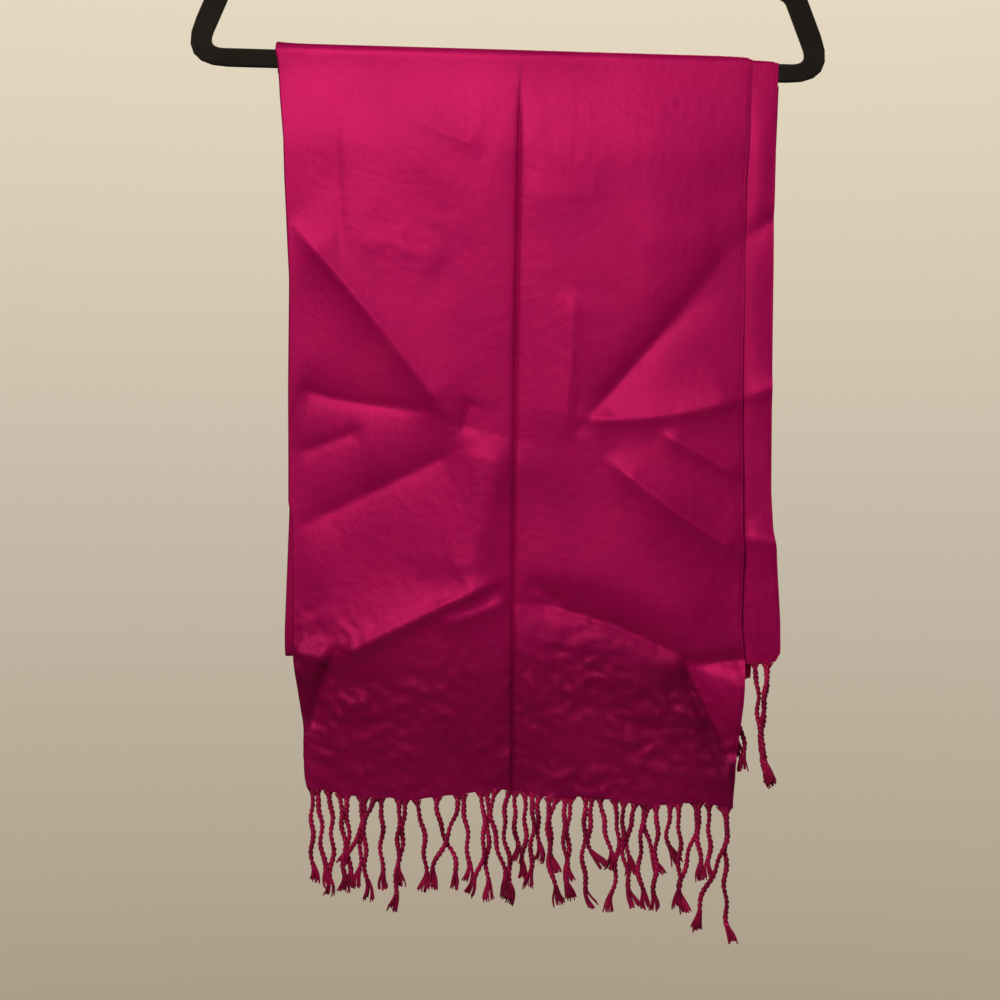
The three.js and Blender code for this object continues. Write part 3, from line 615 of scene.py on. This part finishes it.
def sheet_from(name, rows, material, painted_shading):
    """A sheet whose mesh has the given rows of points, with the painted light and shade of the dye at each
    of them.
    """
    row_count, column_count, _ = rows.shape
    bm = bmesh.new()
    bmesh.ops.create_grid(
        bm, x_segments=column_count - 1, y_segments=row_count - 1, size=0.5, calc_uvs=True)
    steps = np.linalg.norm(np.diff(rows, axis=0), axis=2).mean(axis=1)
    length = np.concatenate([[0], np.cumsum(steps)]) * MM
    widths = np.linalg.norm(np.diff(rows, axis=1), axis=2).mean(axis=0)
    width = np.concatenate([[0], np.cumsum(widths)])
    width *= FLAT_WIDTH / width[-1]
    layer = bm.loops.layers.uv.verify()
    # each vertex carries the painted light and shade that scales the dye
    painted_shading_layer = bm.verts.layers.float.new("painted_shading")
    placed = to_frame(rows)
    for vertex in bm.verts:
        j = round((vertex.co.x + 0.5) * (column_count - 1))
        i = round((0.5 - vertex.co.y) * (row_count - 1))
        vertex.co = placed[i, j]
        vertex[painted_shading_layer] = painted_shading[i, j]
        for loop in vertex.link_loops:
            loop[layer].uv = (width[j], -length[i])
    for face in bm.faces:
        face.smooth = True
    for edge in bm.edges:
        edge.smooth = not edge.is_boundary
    piece = as_piece(bm, name, material)
    solid = piece.modifiers.new("ply thickness", "SOLIDIFY")
    solid.thickness = PLY_THICKNESS * MM
    solid.offset = 0
    print(name, row_count, "x", column_count, "length", round(length[-1], 3))
    return piece, length[-1]


# %% [markdown]
# ## The cloth's finish
#
# A thin viscose twill: deep magenta, a soft sheen, threads that vary a little in thickness so that faint
# streaks run down the cloth, and a fine diagonal rib. A picture of cloth could give all that, but noise
# never repeats. Colour and rib both read the UV map, which follows the cloth. Sheen and gloss are set on
# the shader's own sockets. The helpers come first, as every finish uses them.

# %% Material helpers
def set_inputs(node, inputs):
    """Set a node's inputs by name, with an underscore for each space."""
    for key, value in inputs.items():
        node.inputs[key.replace("_", " ")].default_value = value


def new_material(name, **inputs):
    """A material with one Principled shader, its node tree and that shader."""
    material = bpy.data.materials.new(name)
    material.use_nodes = True
    shader = material.node_tree.nodes["Principled BSDF"]
    set_inputs(shader, inputs)
    return material, material.node_tree, shader


def add_node(tree, kind, **inputs):
    """A node with some of its inputs set by name."""
    node = tree.nodes.new(kind)
    set_inputs(node, inputs)
    return node


def scaled_noise(tree, source, scale, detail, spread):
    """Noise read through a Mapping that scales each direction by its own amount."""
    mapping = add_node(tree, "ShaderNodeMapping", Scale=spread)
    texture = add_node(tree, "ShaderNodeTexNoise", Scale=scale, Detail=detail)
    tree.links.new(source, mapping.inputs["Vector"])
    tree.links.new(mapping.outputs["Vector"], texture.inputs["Vector"])
    return texture.outputs["Fac"]


def add_bump(tree, shader, height, distance, strength, under=None):
    """A bump on the shader's normal, over another bump where one is given."""
    bump = add_node(tree, "ShaderNodeBump", Distance=distance, Strength=strength)
    tree.links.new(height, bump.inputs["Height"])
    if under is not None:
        tree.links.new(under.outputs["Normal"], bump.inputs["Normal"])
    tree.links.new(bump.outputs["Normal"], shader.inputs["Normal"])
    return bump


def colour_ramp(tree, factor, stops):
    """A colour ramp with the given places and colours."""
    ramp = tree.nodes.new("ShaderNodeValToRGB")
    elements = ramp.color_ramp.elements
    for element, (place, colour) in zip(elements, (stops[0], stops[-1])):
        element.position = place
        element.color = (*colour, 1)
    for place, colour in stops[1:-1]:
        elements.new(place).color = (*colour, 1)
    tree.links.new(factor, ramp.inputs["Fac"])
    return ramp.outputs["Color"]


# %% [markdown]
# ### The twill
#
# The dye runs from a deep to a bright magenta with the slubs and with broad patches, and is multiplied by
# the painted light and shade. Three bumps lie over each other: fine crumple, slubs and rib. The gloss
# could be white, as on plastic, but dyed fibres colour it, so the cloth is set partly metallic.

# %% Cloth material
MAGENTA_DEEP = (0.44, 0.0015, 0.136)
MAGENTA = (0.55, 0.0030, 0.167)
MAGENTA_BRIGHT = (0.62, 0.0070, 0.176)
EVEN = (1, 1, 1)  # the same in every direction
SLUB_SPREAD = (900, 22, 1)  # slubs are thin across the cloth and long down it
SLUB_SHARE = 0.45
RIB_SPREAD = (420, 420, 1)


def make_cloth():
    """Magenta twill with slubs, a diagonal rib, fine crumple and a soft sheen."""
    material, tree, shader = new_material(
        "scarf cloth", Roughness=0.52, Metallic=0.32, Sheen_Weight=0.15, Sheen_Roughness=0.4,
        Sheen_Tint=(1.0, 0.25, 0.45, 1), Specular_IOR_Level=0.3, Specular_Tint=(1.0, 0.45, 0.5, 1))
    uv = tree.nodes.new("ShaderNodeUVMap").outputs["UV"]
    slubs = scaled_noise(tree, uv, 1.0, 3, SLUB_SPREAD)
    patches = scaled_noise(tree, uv, 14.0, 3, EVEN)
    mix = add_node(tree, "ShaderNodeMath")
    mix.operation = "MULTIPLY_ADD"
    mix.inputs[1].default_value = SLUB_SHARE
    tree.links.new(slubs, mix.inputs[0])
    tree.links.new(patches, mix.inputs[2])
    colour = colour_ramp(tree, mix.outputs[0], [
        (0.45, MAGENTA_DEEP), (0.72, MAGENTA), (1.0, MAGENTA_BRIGHT)])
    # the dye is scaled by each vertex's painted light and shade
    painted_dye = add_node(tree, "ShaderNodeVectorMath")
    painted_dye.operation = "SCALE"
    painted_shading = tree.nodes.new("ShaderNodeAttribute")
    painted_shading.attribute_name = "painted_shading"
    tree.links.new(colour, painted_dye.inputs[0])
    tree.links.new(painted_shading.outputs["Fac"], painted_dye.inputs["Scale"])
    tree.links.new(painted_dye.outputs["Vector"], shader.inputs["Base Color"])
    rib = add_node(tree, "ShaderNodeTexWave", Scale=1.0, Distortion=0.6, Detail=1.0)
    rib.wave_type = "BANDS"
    rib.bands_direction = "DIAGONAL"
    turned = add_node(tree, "ShaderNodeMapping", Scale=RIB_SPREAD)
    tree.links.new(uv, turned.inputs["Vector"])
    tree.links.new(turned.outputs["Vector"], rib.inputs["Vector"])
    crumple = scaled_noise(tree, uv, 150.0, 4, EVEN)
    first = add_bump(tree, shader, crumple, 0.0012, 0.35)
    second = add_bump(tree, shader, slubs, 0.0003, 0.15, first)
    add_bump(tree, shader, rib.outputs["Fac"], 0.0002, 0.25, second)
    return material


CLOTH = make_cloth()
print(CLOTH.name, "has", len(CLOTH.node_tree.nodes), "nodes")

# %% [markdown]
# ## The long end
#
# The stretch that shows most. It starts behind the bar, turns over it and falls to the lower hem. A
# coarse sheet with a Subdivision Surface would round its crisp creases off, so rows of points every 2 to
# 3 mm carry them. The inner ply is hidden and has fewer columns.

# %% The long end
def front_stretch(name, fall, columns, turn_steps, row_count):
    """A front stretch: a lap behind the bar, the turn and the fall, as one folded sheet."""
    angles = np.linspace(0, math.pi, turn_steps + 1)[:-1]
    turn = turn_points(fall, columns, angles)
    hanging = fall_points(fall, columns, np.linspace(0, 1, row_count))
    rows = np.concatenate([turn, hanging])
    piece, length = sheet_from(name, rows, CLOTH, painted_cloth_shading(fall, rows))
    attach(piece, "root")
    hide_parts(name)
    return piece, length


long_columns = folded_columns(146, 44, sag=0.6)
long_end, long_length = front_stretch("long_end", LONG_FALL, long_columns, 12, 204)
long_end.name = "scarf_long_end"

# %% [markdown]
# ## The short end
#
# The stretch next to the bar. Only a strip of it shows, to the right of the long end. It could be cut
# down to that strip, but it is whole, because one can look in from the side and from below. Its fold lies
# nearly flat, pressed by the long end on top.

# %% The short end
short_columns = folded_columns(90, 44, sag=0.32, puff=0.2)
short_end, short_length = front_stretch("short_end", SHORT_FALL, short_columns, 10, 150)
short_end.name = "scarf_short_end"

# %% [markdown]
# ## The loop at the back
#
# The middle of the scarf hangs behind the bar as a closed loop. Its mesh goes down the inner fall, round
# the lower end in a teardrop turn, and up the outer fall, which shows from behind. Two falls and a tube
# would need joining, so all three are rows of one grid.

# %% The back loop
LOOP_STEPS = 12
LOOP_START = 0.955  # the turn starts at this share of the way down
HIDDEN_ROWS, SHOWN_ROWS = 50, 150


def loop_points(columns):
    """Rows of points down the inner fall, round the lower end and up the outer fall."""
    share, beyond, level, _ = columns
    inward = (share, beyond, WALL - level, 0 * level)
    down = fall_points(INNER_BACK_FALL, inward, np.linspace(0, LOOP_START, HIDDEN_ROWS))
    up = fall_points(OUTER_BACK_FALL, columns, np.linspace(LOOP_START, 0, SHOWN_ROWS))
    first, last = down[-1], up[0]
    middle = (first + last) / 2
    reach = (last[:, 1] - first[:, 1]) / 2
    depth = middle[:, 2] - read_table(LOOP_BOTTOM, 0, middle[:, 0], 1) - (WALL - level)
    turn = []
    for angle in np.linspace(0, math.pi, LOOP_STEPS + 2)[1:-1]:
        side = first * (1 + math.cos(angle)) / 2 + last * (1 - math.cos(angle)) / 2
        y = middle[:, 1] - reach * math.cos(angle)
        turn.append(np.stack([side[:, 0], y, middle[:, 2] - depth * math.sin(angle)], axis=1))
    return np.concatenate([down, np.array(turn), up])


loop_rows = loop_points(folded_columns(110, 50))
# the loop gets no painted light and shade
no_painted_shading = np.ones(loop_rows.shape[:2])
back_loop, loop_length = sheet_from("scarf_back_loop", loop_rows, CLOTH, no_painted_shading)
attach(back_loop, "root")
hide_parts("back_loop")

# %% [markdown]
# ## Twisted fringe
#
# Each strand is two bundles of yarn twisted round each other, so it looks like a thin rope with a frayed
# end. The twist could be painted on a tube, but its outline would stay smooth. So it is built in the
# cells below, and this finish only adds the dye, shade and fine fibres.

# %% Yarn material
YARN_DEEP = (0.26, 0.004, 0.062)
YARN_MIDDLE = (0.48, 0.008, 0.115)
YARN_BRIGHT = (0.66, 0.014, 0.165)
ALONG_STRANDS = (1, 1, 0.35)  # fibres are longer down the strand


def make_yarn():
    """Twisted yarn in the scarf's own colour, darker and lighter in random patches, with fine fibres."""
    material, tree, shader = new_material(
        "fringe yarn", Roughness=0.42, Metallic=0.25, Sheen_Weight=0.2,
        Sheen_Tint=(1.0, 0.3, 0.5, 1), Specular_IOR_Level=0.35, Specular_Tint=(1.0, 0.5, 0.6, 1))
    place = tree.nodes.new("ShaderNodeTexCoord").outputs["Object"]
    fibres = scaled_noise(tree, place, 900.0, 3, ALONG_STRANDS)
    shade = scaled_noise(tree, place, 60.0, 2, EVEN)
    colour = colour_ramp(tree, shade, [(0.3, YARN_DEEP), (0.5, YARN_MIDDLE), (0.72, YARN_BRIGHT)])
    tree.links.new(colour, shader.inputs["Base Color"])
    add_bump(tree, shader, fibres, 0.0006, 0.6)
    return material


YARN = make_yarn()
print(YARN.name, "has", len(YARN.node_tree.nodes), "nodes")

# %% [markdown]
# ## The line of a strand
#
# A strand hangs from its root with lazy bends and small kinks. It could be simulated as a rope, but it has
# to follow its row in the table, so a cubic through the row's places gives its line, and two slow sines
# kink it. Neighbours belong to different plies. The short end's hang back, clear of the long end's cloth.

# %% The line of a strand
POINT_STEP = 1.4
STRAND_SPREAD = 1.1  # how far the strands of each ply hang from the middle of the pair
SPREAD_SHARES = (0.2, 1, 1.4, 1)  # at the root, a third, two thirds and the end
KINK, KINKED = 1.05, (0.05, 0.3)  # how large the kinks are, and the shares where they grow
KINK_LENGTHS = (4.1, 5.3)  # sideways, and to the front and back
HANG_SHARES = (0.2, 0.6)  # the shares where a strand swings back
ROOT_RISE = 1.5  # a strand starts this far up in the hem


def smooth_through(places, values, at):
    """A cubic through four values."""
    return np.polyval(np.polyfit(places, values, 3), at)


def strand_line(fall, row, index):
    """A strand's middle line, as points about a POINT_STEP apart."""
    root, third, two_thirds, end, drop = row
    at = np.array([float(root)])
    hem_z = (read_table(fall["end"], 0, at, 1) + hem_points(fall, at))[0]
    middle = fall["side"] * (stand_off(fall, at, np.array([hem_z]))[0] + WALL / 2)
    ply = STRAND_SPREAD * (-1 if index % 2 else 1)
    key_shares = [0, 1 / 3, 2 / 3, 1]
    keys_x = [root, root + third, root + two_thirds, root + end]
    keys_y = [middle + ply * spread for spread in SPREAD_SHARES]
    shares = np.linspace(0, 1, int(drop / POINT_STEP))
    kinks = KINK * smooth(shares, *KINKED)
    line_x = smooth_through(key_shares, keys_x, shares)
    line_x = line_x + kinks * np.sin(shares * drop / KINK_LENGTHS[0] + 1.9 * index)
    line_y = smooth_through(key_shares, keys_y, shares)
    line_y = line_y + kinks * np.sin(shares * drop / KINK_LENGTHS[1] + 2.7 * index)
    line_y = line_y + fall["hang_back"] * smooth(shares, *HANG_SHARES)
    return np.stack([line_x, line_y, hem_z + ROOT_RISE - (drop + ROOT_RISE) * shares], axis=1)


print("the first strand has", len(strand_line(LONG_FALL, LONG_STRANDS[0], 0)), "points")

# %% [markdown]
# ## Rope, roots, knot and tuft
#
# Two helices round the strand's line make the rope. Loose yarns gather into it at the hem, most strands
# are tied near the end, and a spray of fine fibres makes the tuft. An Array modifier could repeat a twist
# along a curve. Splines with a radius at each point let the rope be fuller in places.

# %% Parts of a strand
TWIST_PITCH = 7.6
BUNDLE_RADIUS, BUNDLE_OFFSET = 1.12, 0.92
FULLER, FULLER_LENGTH = 0.16, 6.3  # how much fuller the rope is in places, and how often
ROOT_YARNS, ROOT_POINTS = 6, 5
ROOT_SPREAD, ROOT_DEPTH, ROOT_RADIUS = 3.2, 0.4, 0.55
TUFT_LENGTH, TUFT_OVERLAP = 13.5, 3.0
TUFT_FIBRES, TUFT_RADIUS = 19, 0.68
FIBRE_START, FIBRE_REACH = 1.0, (1.0, 4.3)  # from the strand's line, at the start and at the tip
FIBRE_BEND = 0.5
KNOTTED = 0.6  # the share of strands that are tied
KNOT_PITCH, KNOT_OFFSET, KNOT_RADIUS, KNOT_HALF = 3.2, 1.5, 0.95, 2.5


def add_spline(curve, points, radii):
    """A poly spline in a curve, with its own radius at each point."""
    spline = curve.splines.new("POLY")
    spline.points.add(len(points) - 1)
    placed = to_frame(np.asarray(points))
    flat = np.concatenate([placed, np.ones((len(points), 1))], axis=1)
    spline.points.foreach_set("co", flat.ravel())
    spline.points.foreach_set("radius", np.asarray(radii, float))


def frame_along(line):
    """Directions across and out of a line at each point, and the length up to there."""
    step = np.gradient(line, axis=0)
    step /= np.linalg.norm(step, axis=1)[:, None]
    across = np.cross(step, [0, 1, 0])
    across /= np.linalg.norm(across, axis=1)[:, None]
    out = np.cross(across, step)
    length = np.concatenate([[0], np.cumsum(np.linalg.norm(np.diff(line, axis=0), axis=1))])
    return across, out, length


def around(across, out, angle, radius):
    """Offsets of a given radius and angle round a line."""
    angle = np.broadcast_to(angle, len(across))[:, None]
    return radius * (across * np.cos(angle) + out * np.sin(angle))


def add_cord(cords, line, start_turn):
    """Two bundles of yarn twisted round a line, fuller in some places than in others."""
    across, out, length = frame_along(line)
    fullness = 1 + FULLER * np.sin(length / FULLER_LENGTH + start_turn)
    for bundle in (0, math.pi):
        turn = 2 * math.pi * length / TWIST_PITCH + bundle + start_turn
        twisted = line + around(across, out, turn, BUNDLE_OFFSET)
        add_spline(cords, twisted, BUNDLE_RADIUS * MM * fullness)


def add_roots(tufts, line, rng):
    """Loose yarns that gather from the hem into the start of a strand."""
    share = np.linspace(1, 0, ROOT_POINTS)[:, None]
    for side in np.linspace(-ROOT_SPREAD, ROOT_SPREAD, ROOT_YARNS):
        gathered = line[:ROOT_POINTS] + share * [side, rng.uniform(-ROOT_DEPTH, ROOT_DEPTH), 0]
        add_spline(tufts, gathered, np.full(ROOT_POINTS, ROOT_RADIUS * MM))


def add_tuft(tufts, tail, rng):
    """The blunt frayed end of a strand."""
    across, out, _ = frame_along(tail)
    share = np.linspace(0, 1, len(tail))[:, None]
    for _ in range(TUFT_FIBRES):
        angle = rng.uniform(0, 2 * math.pi)
        reach = rng.uniform(*FIBRE_REACH)
        radius = FIBRE_START + share ** 1.2 * reach
        bend = FIBRE_BEND * np.sin(share * rng.uniform(2, 6) + angle)
        cut = max(4, int(len(tail) * rng.uniform(0.8, 1.0)))
        path = tail + around(across, out, angle, radius) * [1, 0.7, 1] + bend * share
        thickness = TUFT_RADIUS * MM * np.linspace(1.1, 0.75, cut)
        add_spline(tufts, path[:cut], thickness)


def add_knot(cords, line, rng):
    """One turn of the bundle tied round the strand above its tuft."""
    across, out, length = frame_along(line)
    turn = 2 * math.pi * length / KNOT_PITCH + rng.uniform(0, 6)
    tied = line + around(across, out, turn, KNOT_OFFSET)
    add_spline(cords, tied, np.full(len(line), KNOT_RADIUS * MM))


def add_strand(cords, tufts, line, rng):
    """One strand of fringe: roots, twisted cord, often a knot, and a tuft."""
    _, _, length = frame_along(line)
    left = length[-1] - length
    add_roots(tufts, line, rng)
    add_cord(cords, line[left > TUFT_LENGTH], rng.uniform(0, 2 * math.pi))
    add_tuft(tufts, line[left < TUFT_LENGTH + TUFT_OVERLAP], rng)
    if rng.random() < KNOTTED:
        add_knot(cords, line[np.abs(left - TUFT_LENGTH) < KNOT_HALF], rng)


# %% [markdown]
# ## One fringe for each hem
#
# A fringe is the ends of the cloth's own warp. Each strand could be an object of its own, but one mesh for
# a whole hem is easy to pick up. Cords get a rounder bevel than the fine fibres.

# %% The fringe of each hem
def new_curve(name, resolution):
    """An empty 3D curve with a round bevel of one metre, which the radii scale."""
    curve = bpy.data.curves.new(name, "CURVE")
    curve.dimensions = "3D"
    curve.bevel_depth = 1.0
    curve.bevel_resolution = resolution
    curve.use_fill_caps = True
    return curve


def mesh_of(curves, name, material):
    """One mesh piece from several curves."""
    bm = bmesh.new()
    for curve in curves:
        holder = bpy.data.objects.new("holder", curve)
        scene.collection.objects.link(holder)
        made = holder.evaluated_get(bpy.context.evaluated_depsgraph_get()).to_mesh()
        bm.from_mesh(made)
        bpy.data.objects.remove(holder)
    for face in bm.faces:
        face.smooth = True
    piece = as_piece(bm, name, material)
    print(name, len(piece.data.polygons), "faces")
    return piece


def fringe(name, node, fall, strands, seed):
    """All the strands of one hem as a single piece."""
    rng = np.random.default_rng(seed)
    cords, tufts = new_curve(name + " cords", 1), new_curve(name + " tufts", 0)
    for index, row in enumerate(strands):
        add_strand(cords, tufts, strand_line(fall, row, index), rng)
    piece = mesh_of([cords, tufts], name, YARN)
    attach(piece, "root")
    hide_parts(node)
    return piece


long_fringe = fringe("scarf_long_fringe", "long_fringe", LONG_FALL, LONG_STRANDS, 5)
short_fringe = fringe("scarf_short_fringe", "short_fringe", SHORT_FALL, SHORT_STRANDS, 8)

# %% [markdown]
# ## What is cloth
# The three sheets are cloth, and the two with a hem have a fringe each. Their flat lengths add up to the
# length of the whole cut. A note would do for a
# reader. Said to the frame, with flat sizes and what each hangs on, it lets a program hang them anew.

# %% The sheets' flat length
print("flat length", round(long_length + short_length + loop_length, 3))

# %% [markdown]
# ## The hanger
#
# A slim moulded hanger covered in short flock, matte and nearly black, and a hook of polished wire. The
# flock could be hair, but grain and a little sheen look the same from here. The shapes in the frame are
# already right, so they only need a finish.

# %% Hanger finishes
FLOCK_DARK = (0.012, 0.011, 0.0105)
FLOCK_WORN = (0.020, 0.018, 0.017)


def make_flock():
    """Charcoal flock: fine grain, no gloss, a faint sheen at the edges."""
    material, tree, shader = new_material(
        "hanger flock", Roughness=0.95, Sheen_Weight=0.12, Sheen_Roughness=0.6, Specular_IOR_Level=0.15)
    place = tree.nodes.new("ShaderNodeTexCoord").outputs["Object"]
    grain = scaled_noise(tree, place, 1500.0, 2, EVEN)
    worn = scaled_noise(tree, place, 25.0, 3, EVEN)
    colour = colour_ramp(tree, worn, [(0.35, FLOCK_DARK), (0.7, FLOCK_WORN)])
    tree.links.new(colour, shader.inputs["Base Color"])
    add_bump(tree, shader, grain, 0.0005, 0.5)
    return material


def make_chrome():
    """Polished wire with faint drawing marks."""
    material, tree, shader = new_material(
        "hook chrome", Roughness=0.38, Metallic=1.0, Base_Color=(0.62, 0.62, 0.63, 1))
    place = tree.nodes.new("ShaderNodeTexCoord").outputs["Object"]
    marks = scaled_noise(tree, place, 700.0, 2, (1, 1, 0.1))
    add_bump(tree, shader, marks, 0.0002, 0.15)
    return material


FLOCK = make_flock()
CHROME = make_chrome()
for node, finish in (("hanger_body", FLOCK), ("hanger_hook", CHROME)):
    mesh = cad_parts[node].data
    mesh.materials.clear()
    mesh.materials.append(finish)
    print(node, "is finished in", finish.name)

# %% [markdown]
# ## The floor
#
# A plain pale floor well below the fringe, so that the scarf hangs free. A curved backdrop would do as
# well, but would show behind the cloth.

# %% Floor
FLOOR_DROP = 1.62
FLOOR_HALF = 2.2


def make_floor():
    """A plain pale square floor."""
    bm = bmesh.new()
    bmesh.ops.create_grid(bm, x_segments=1, y_segments=1, size=FLOOR_HALF)
    bmesh.ops.translate(bm, verts=bm.verts, vec=(0, 0, -FLOOR_DROP))
    finish = new_material("floor", Roughness=0.9, Base_Color=(0.62, 0.57, 0.49, 1))[0]
    floor = as_piece(bm, "floor", finish)


make_floor()
print("the floor is", FLOOR_DROP, "m below the hook")

# %% [markdown]
# ## The lights
#
# A warm lamp above and a little to the left gives every crease a light and a dark side, as in the
# photograph. A weak cool fill keeps the dark sides readable, and a lamp behind shows the loop. A sun
# would do for the key, but an area light has the soft shadow edges of a real lamp.

# %% The lights
def soft_light(name, place, aim, size, power, colour):
    """A square area light that points at a place."""
    light = bpy.data.lights.new(name, "AREA")
    light.size = size
    light.energy = power
    light.color = colour
    lamp = bpy.data.objects.new(name, light)
    lamp.location = place
    lamp.rotation_euler = (Vector(aim) - Vector(place)).to_track_quat("-Z", "Y").to_euler()
    scene.collection.objects.link(lamp)


soft_light("key", (-0.32, -1.30, 0.46), (0, 0, -0.45), 0.40, 15.0, (1.0, 0.83, 0.59))
soft_light("fill", (0.7, -1.6, -0.1), (0, 0, -0.4), 1.2, 0.7, (0.80, 0.84, 1.0))
soft_light("back light", (0.3, 0.95, 0.25), (0, 0, -0.42), 0.5, 8.4, (1.0, 0.86, 0.70))
print(len(bpy.data.lights), "lights")

# %% [markdown]
# ## The surround
#
# A plain warm room is seen behind the object, darker towards the floor. A wall could be modelled, but it
# would catch shadows. So the surround is drawn for the camera alone, and a much weaker, cooler air lights
# the cloth from all round.

# %% The surround
HORIZON = 0.28  # the shades change between this far below and above eye level
LOW_SHADE, MIDDLE_SHADE, HIGH_SHADE = (0.40, 0.33, 0.24), (0.57, 0.50, 0.40), (0.80, 0.70, 0.54)
AIR_COLOUR, AIR_STRENGTH = (0.80, 0.80, 0.95, 1), 0.06

world = bpy.data.worlds.new("surround")
scene.world = world
world.use_nodes = True
sky = world.node_tree
place = sky.nodes.new("ShaderNodeTexCoord").outputs["Generated"]
split = sky.nodes.new("ShaderNodeSeparateXYZ")
sky.links.new(place, split.inputs[0])
height = add_node(sky, "ShaderNodeMapRange", From_Min=-HORIZON, From_Max=HORIZON)
sky.links.new(split.outputs["Z"], height.inputs["Value"])
shade = colour_ramp(sky, height.outputs["Result"], [
    (0.0, LOW_SHADE), (0.5, MIDDLE_SHADE), (1.0, HIGH_SHADE)])
seen = sky.nodes["Background"]
sky.links.new(shade, seen.inputs["Color"])
air = add_node(sky, "ShaderNodeBackground", Color=AIR_COLOUR, Strength=AIR_STRENGTH)
choice = sky.nodes.new("ShaderNodeMixShader")
ray = sky.nodes.new("ShaderNodeLightPath")
sky.links.new(ray.outputs["Is Camera Ray"], choice.inputs["Fac"])
sky.links.new(air.outputs["Background"], choice.inputs[1])
sky.links.new(seen.outputs["Background"], choice.inputs[2])
sky.links.new(choice.outputs["Shader"], sky.nodes["World Output"].inputs["Surface"])
scene.view_settings.view_transform = "Standard"
print("the air's strength is", AIR_STRENGTH)
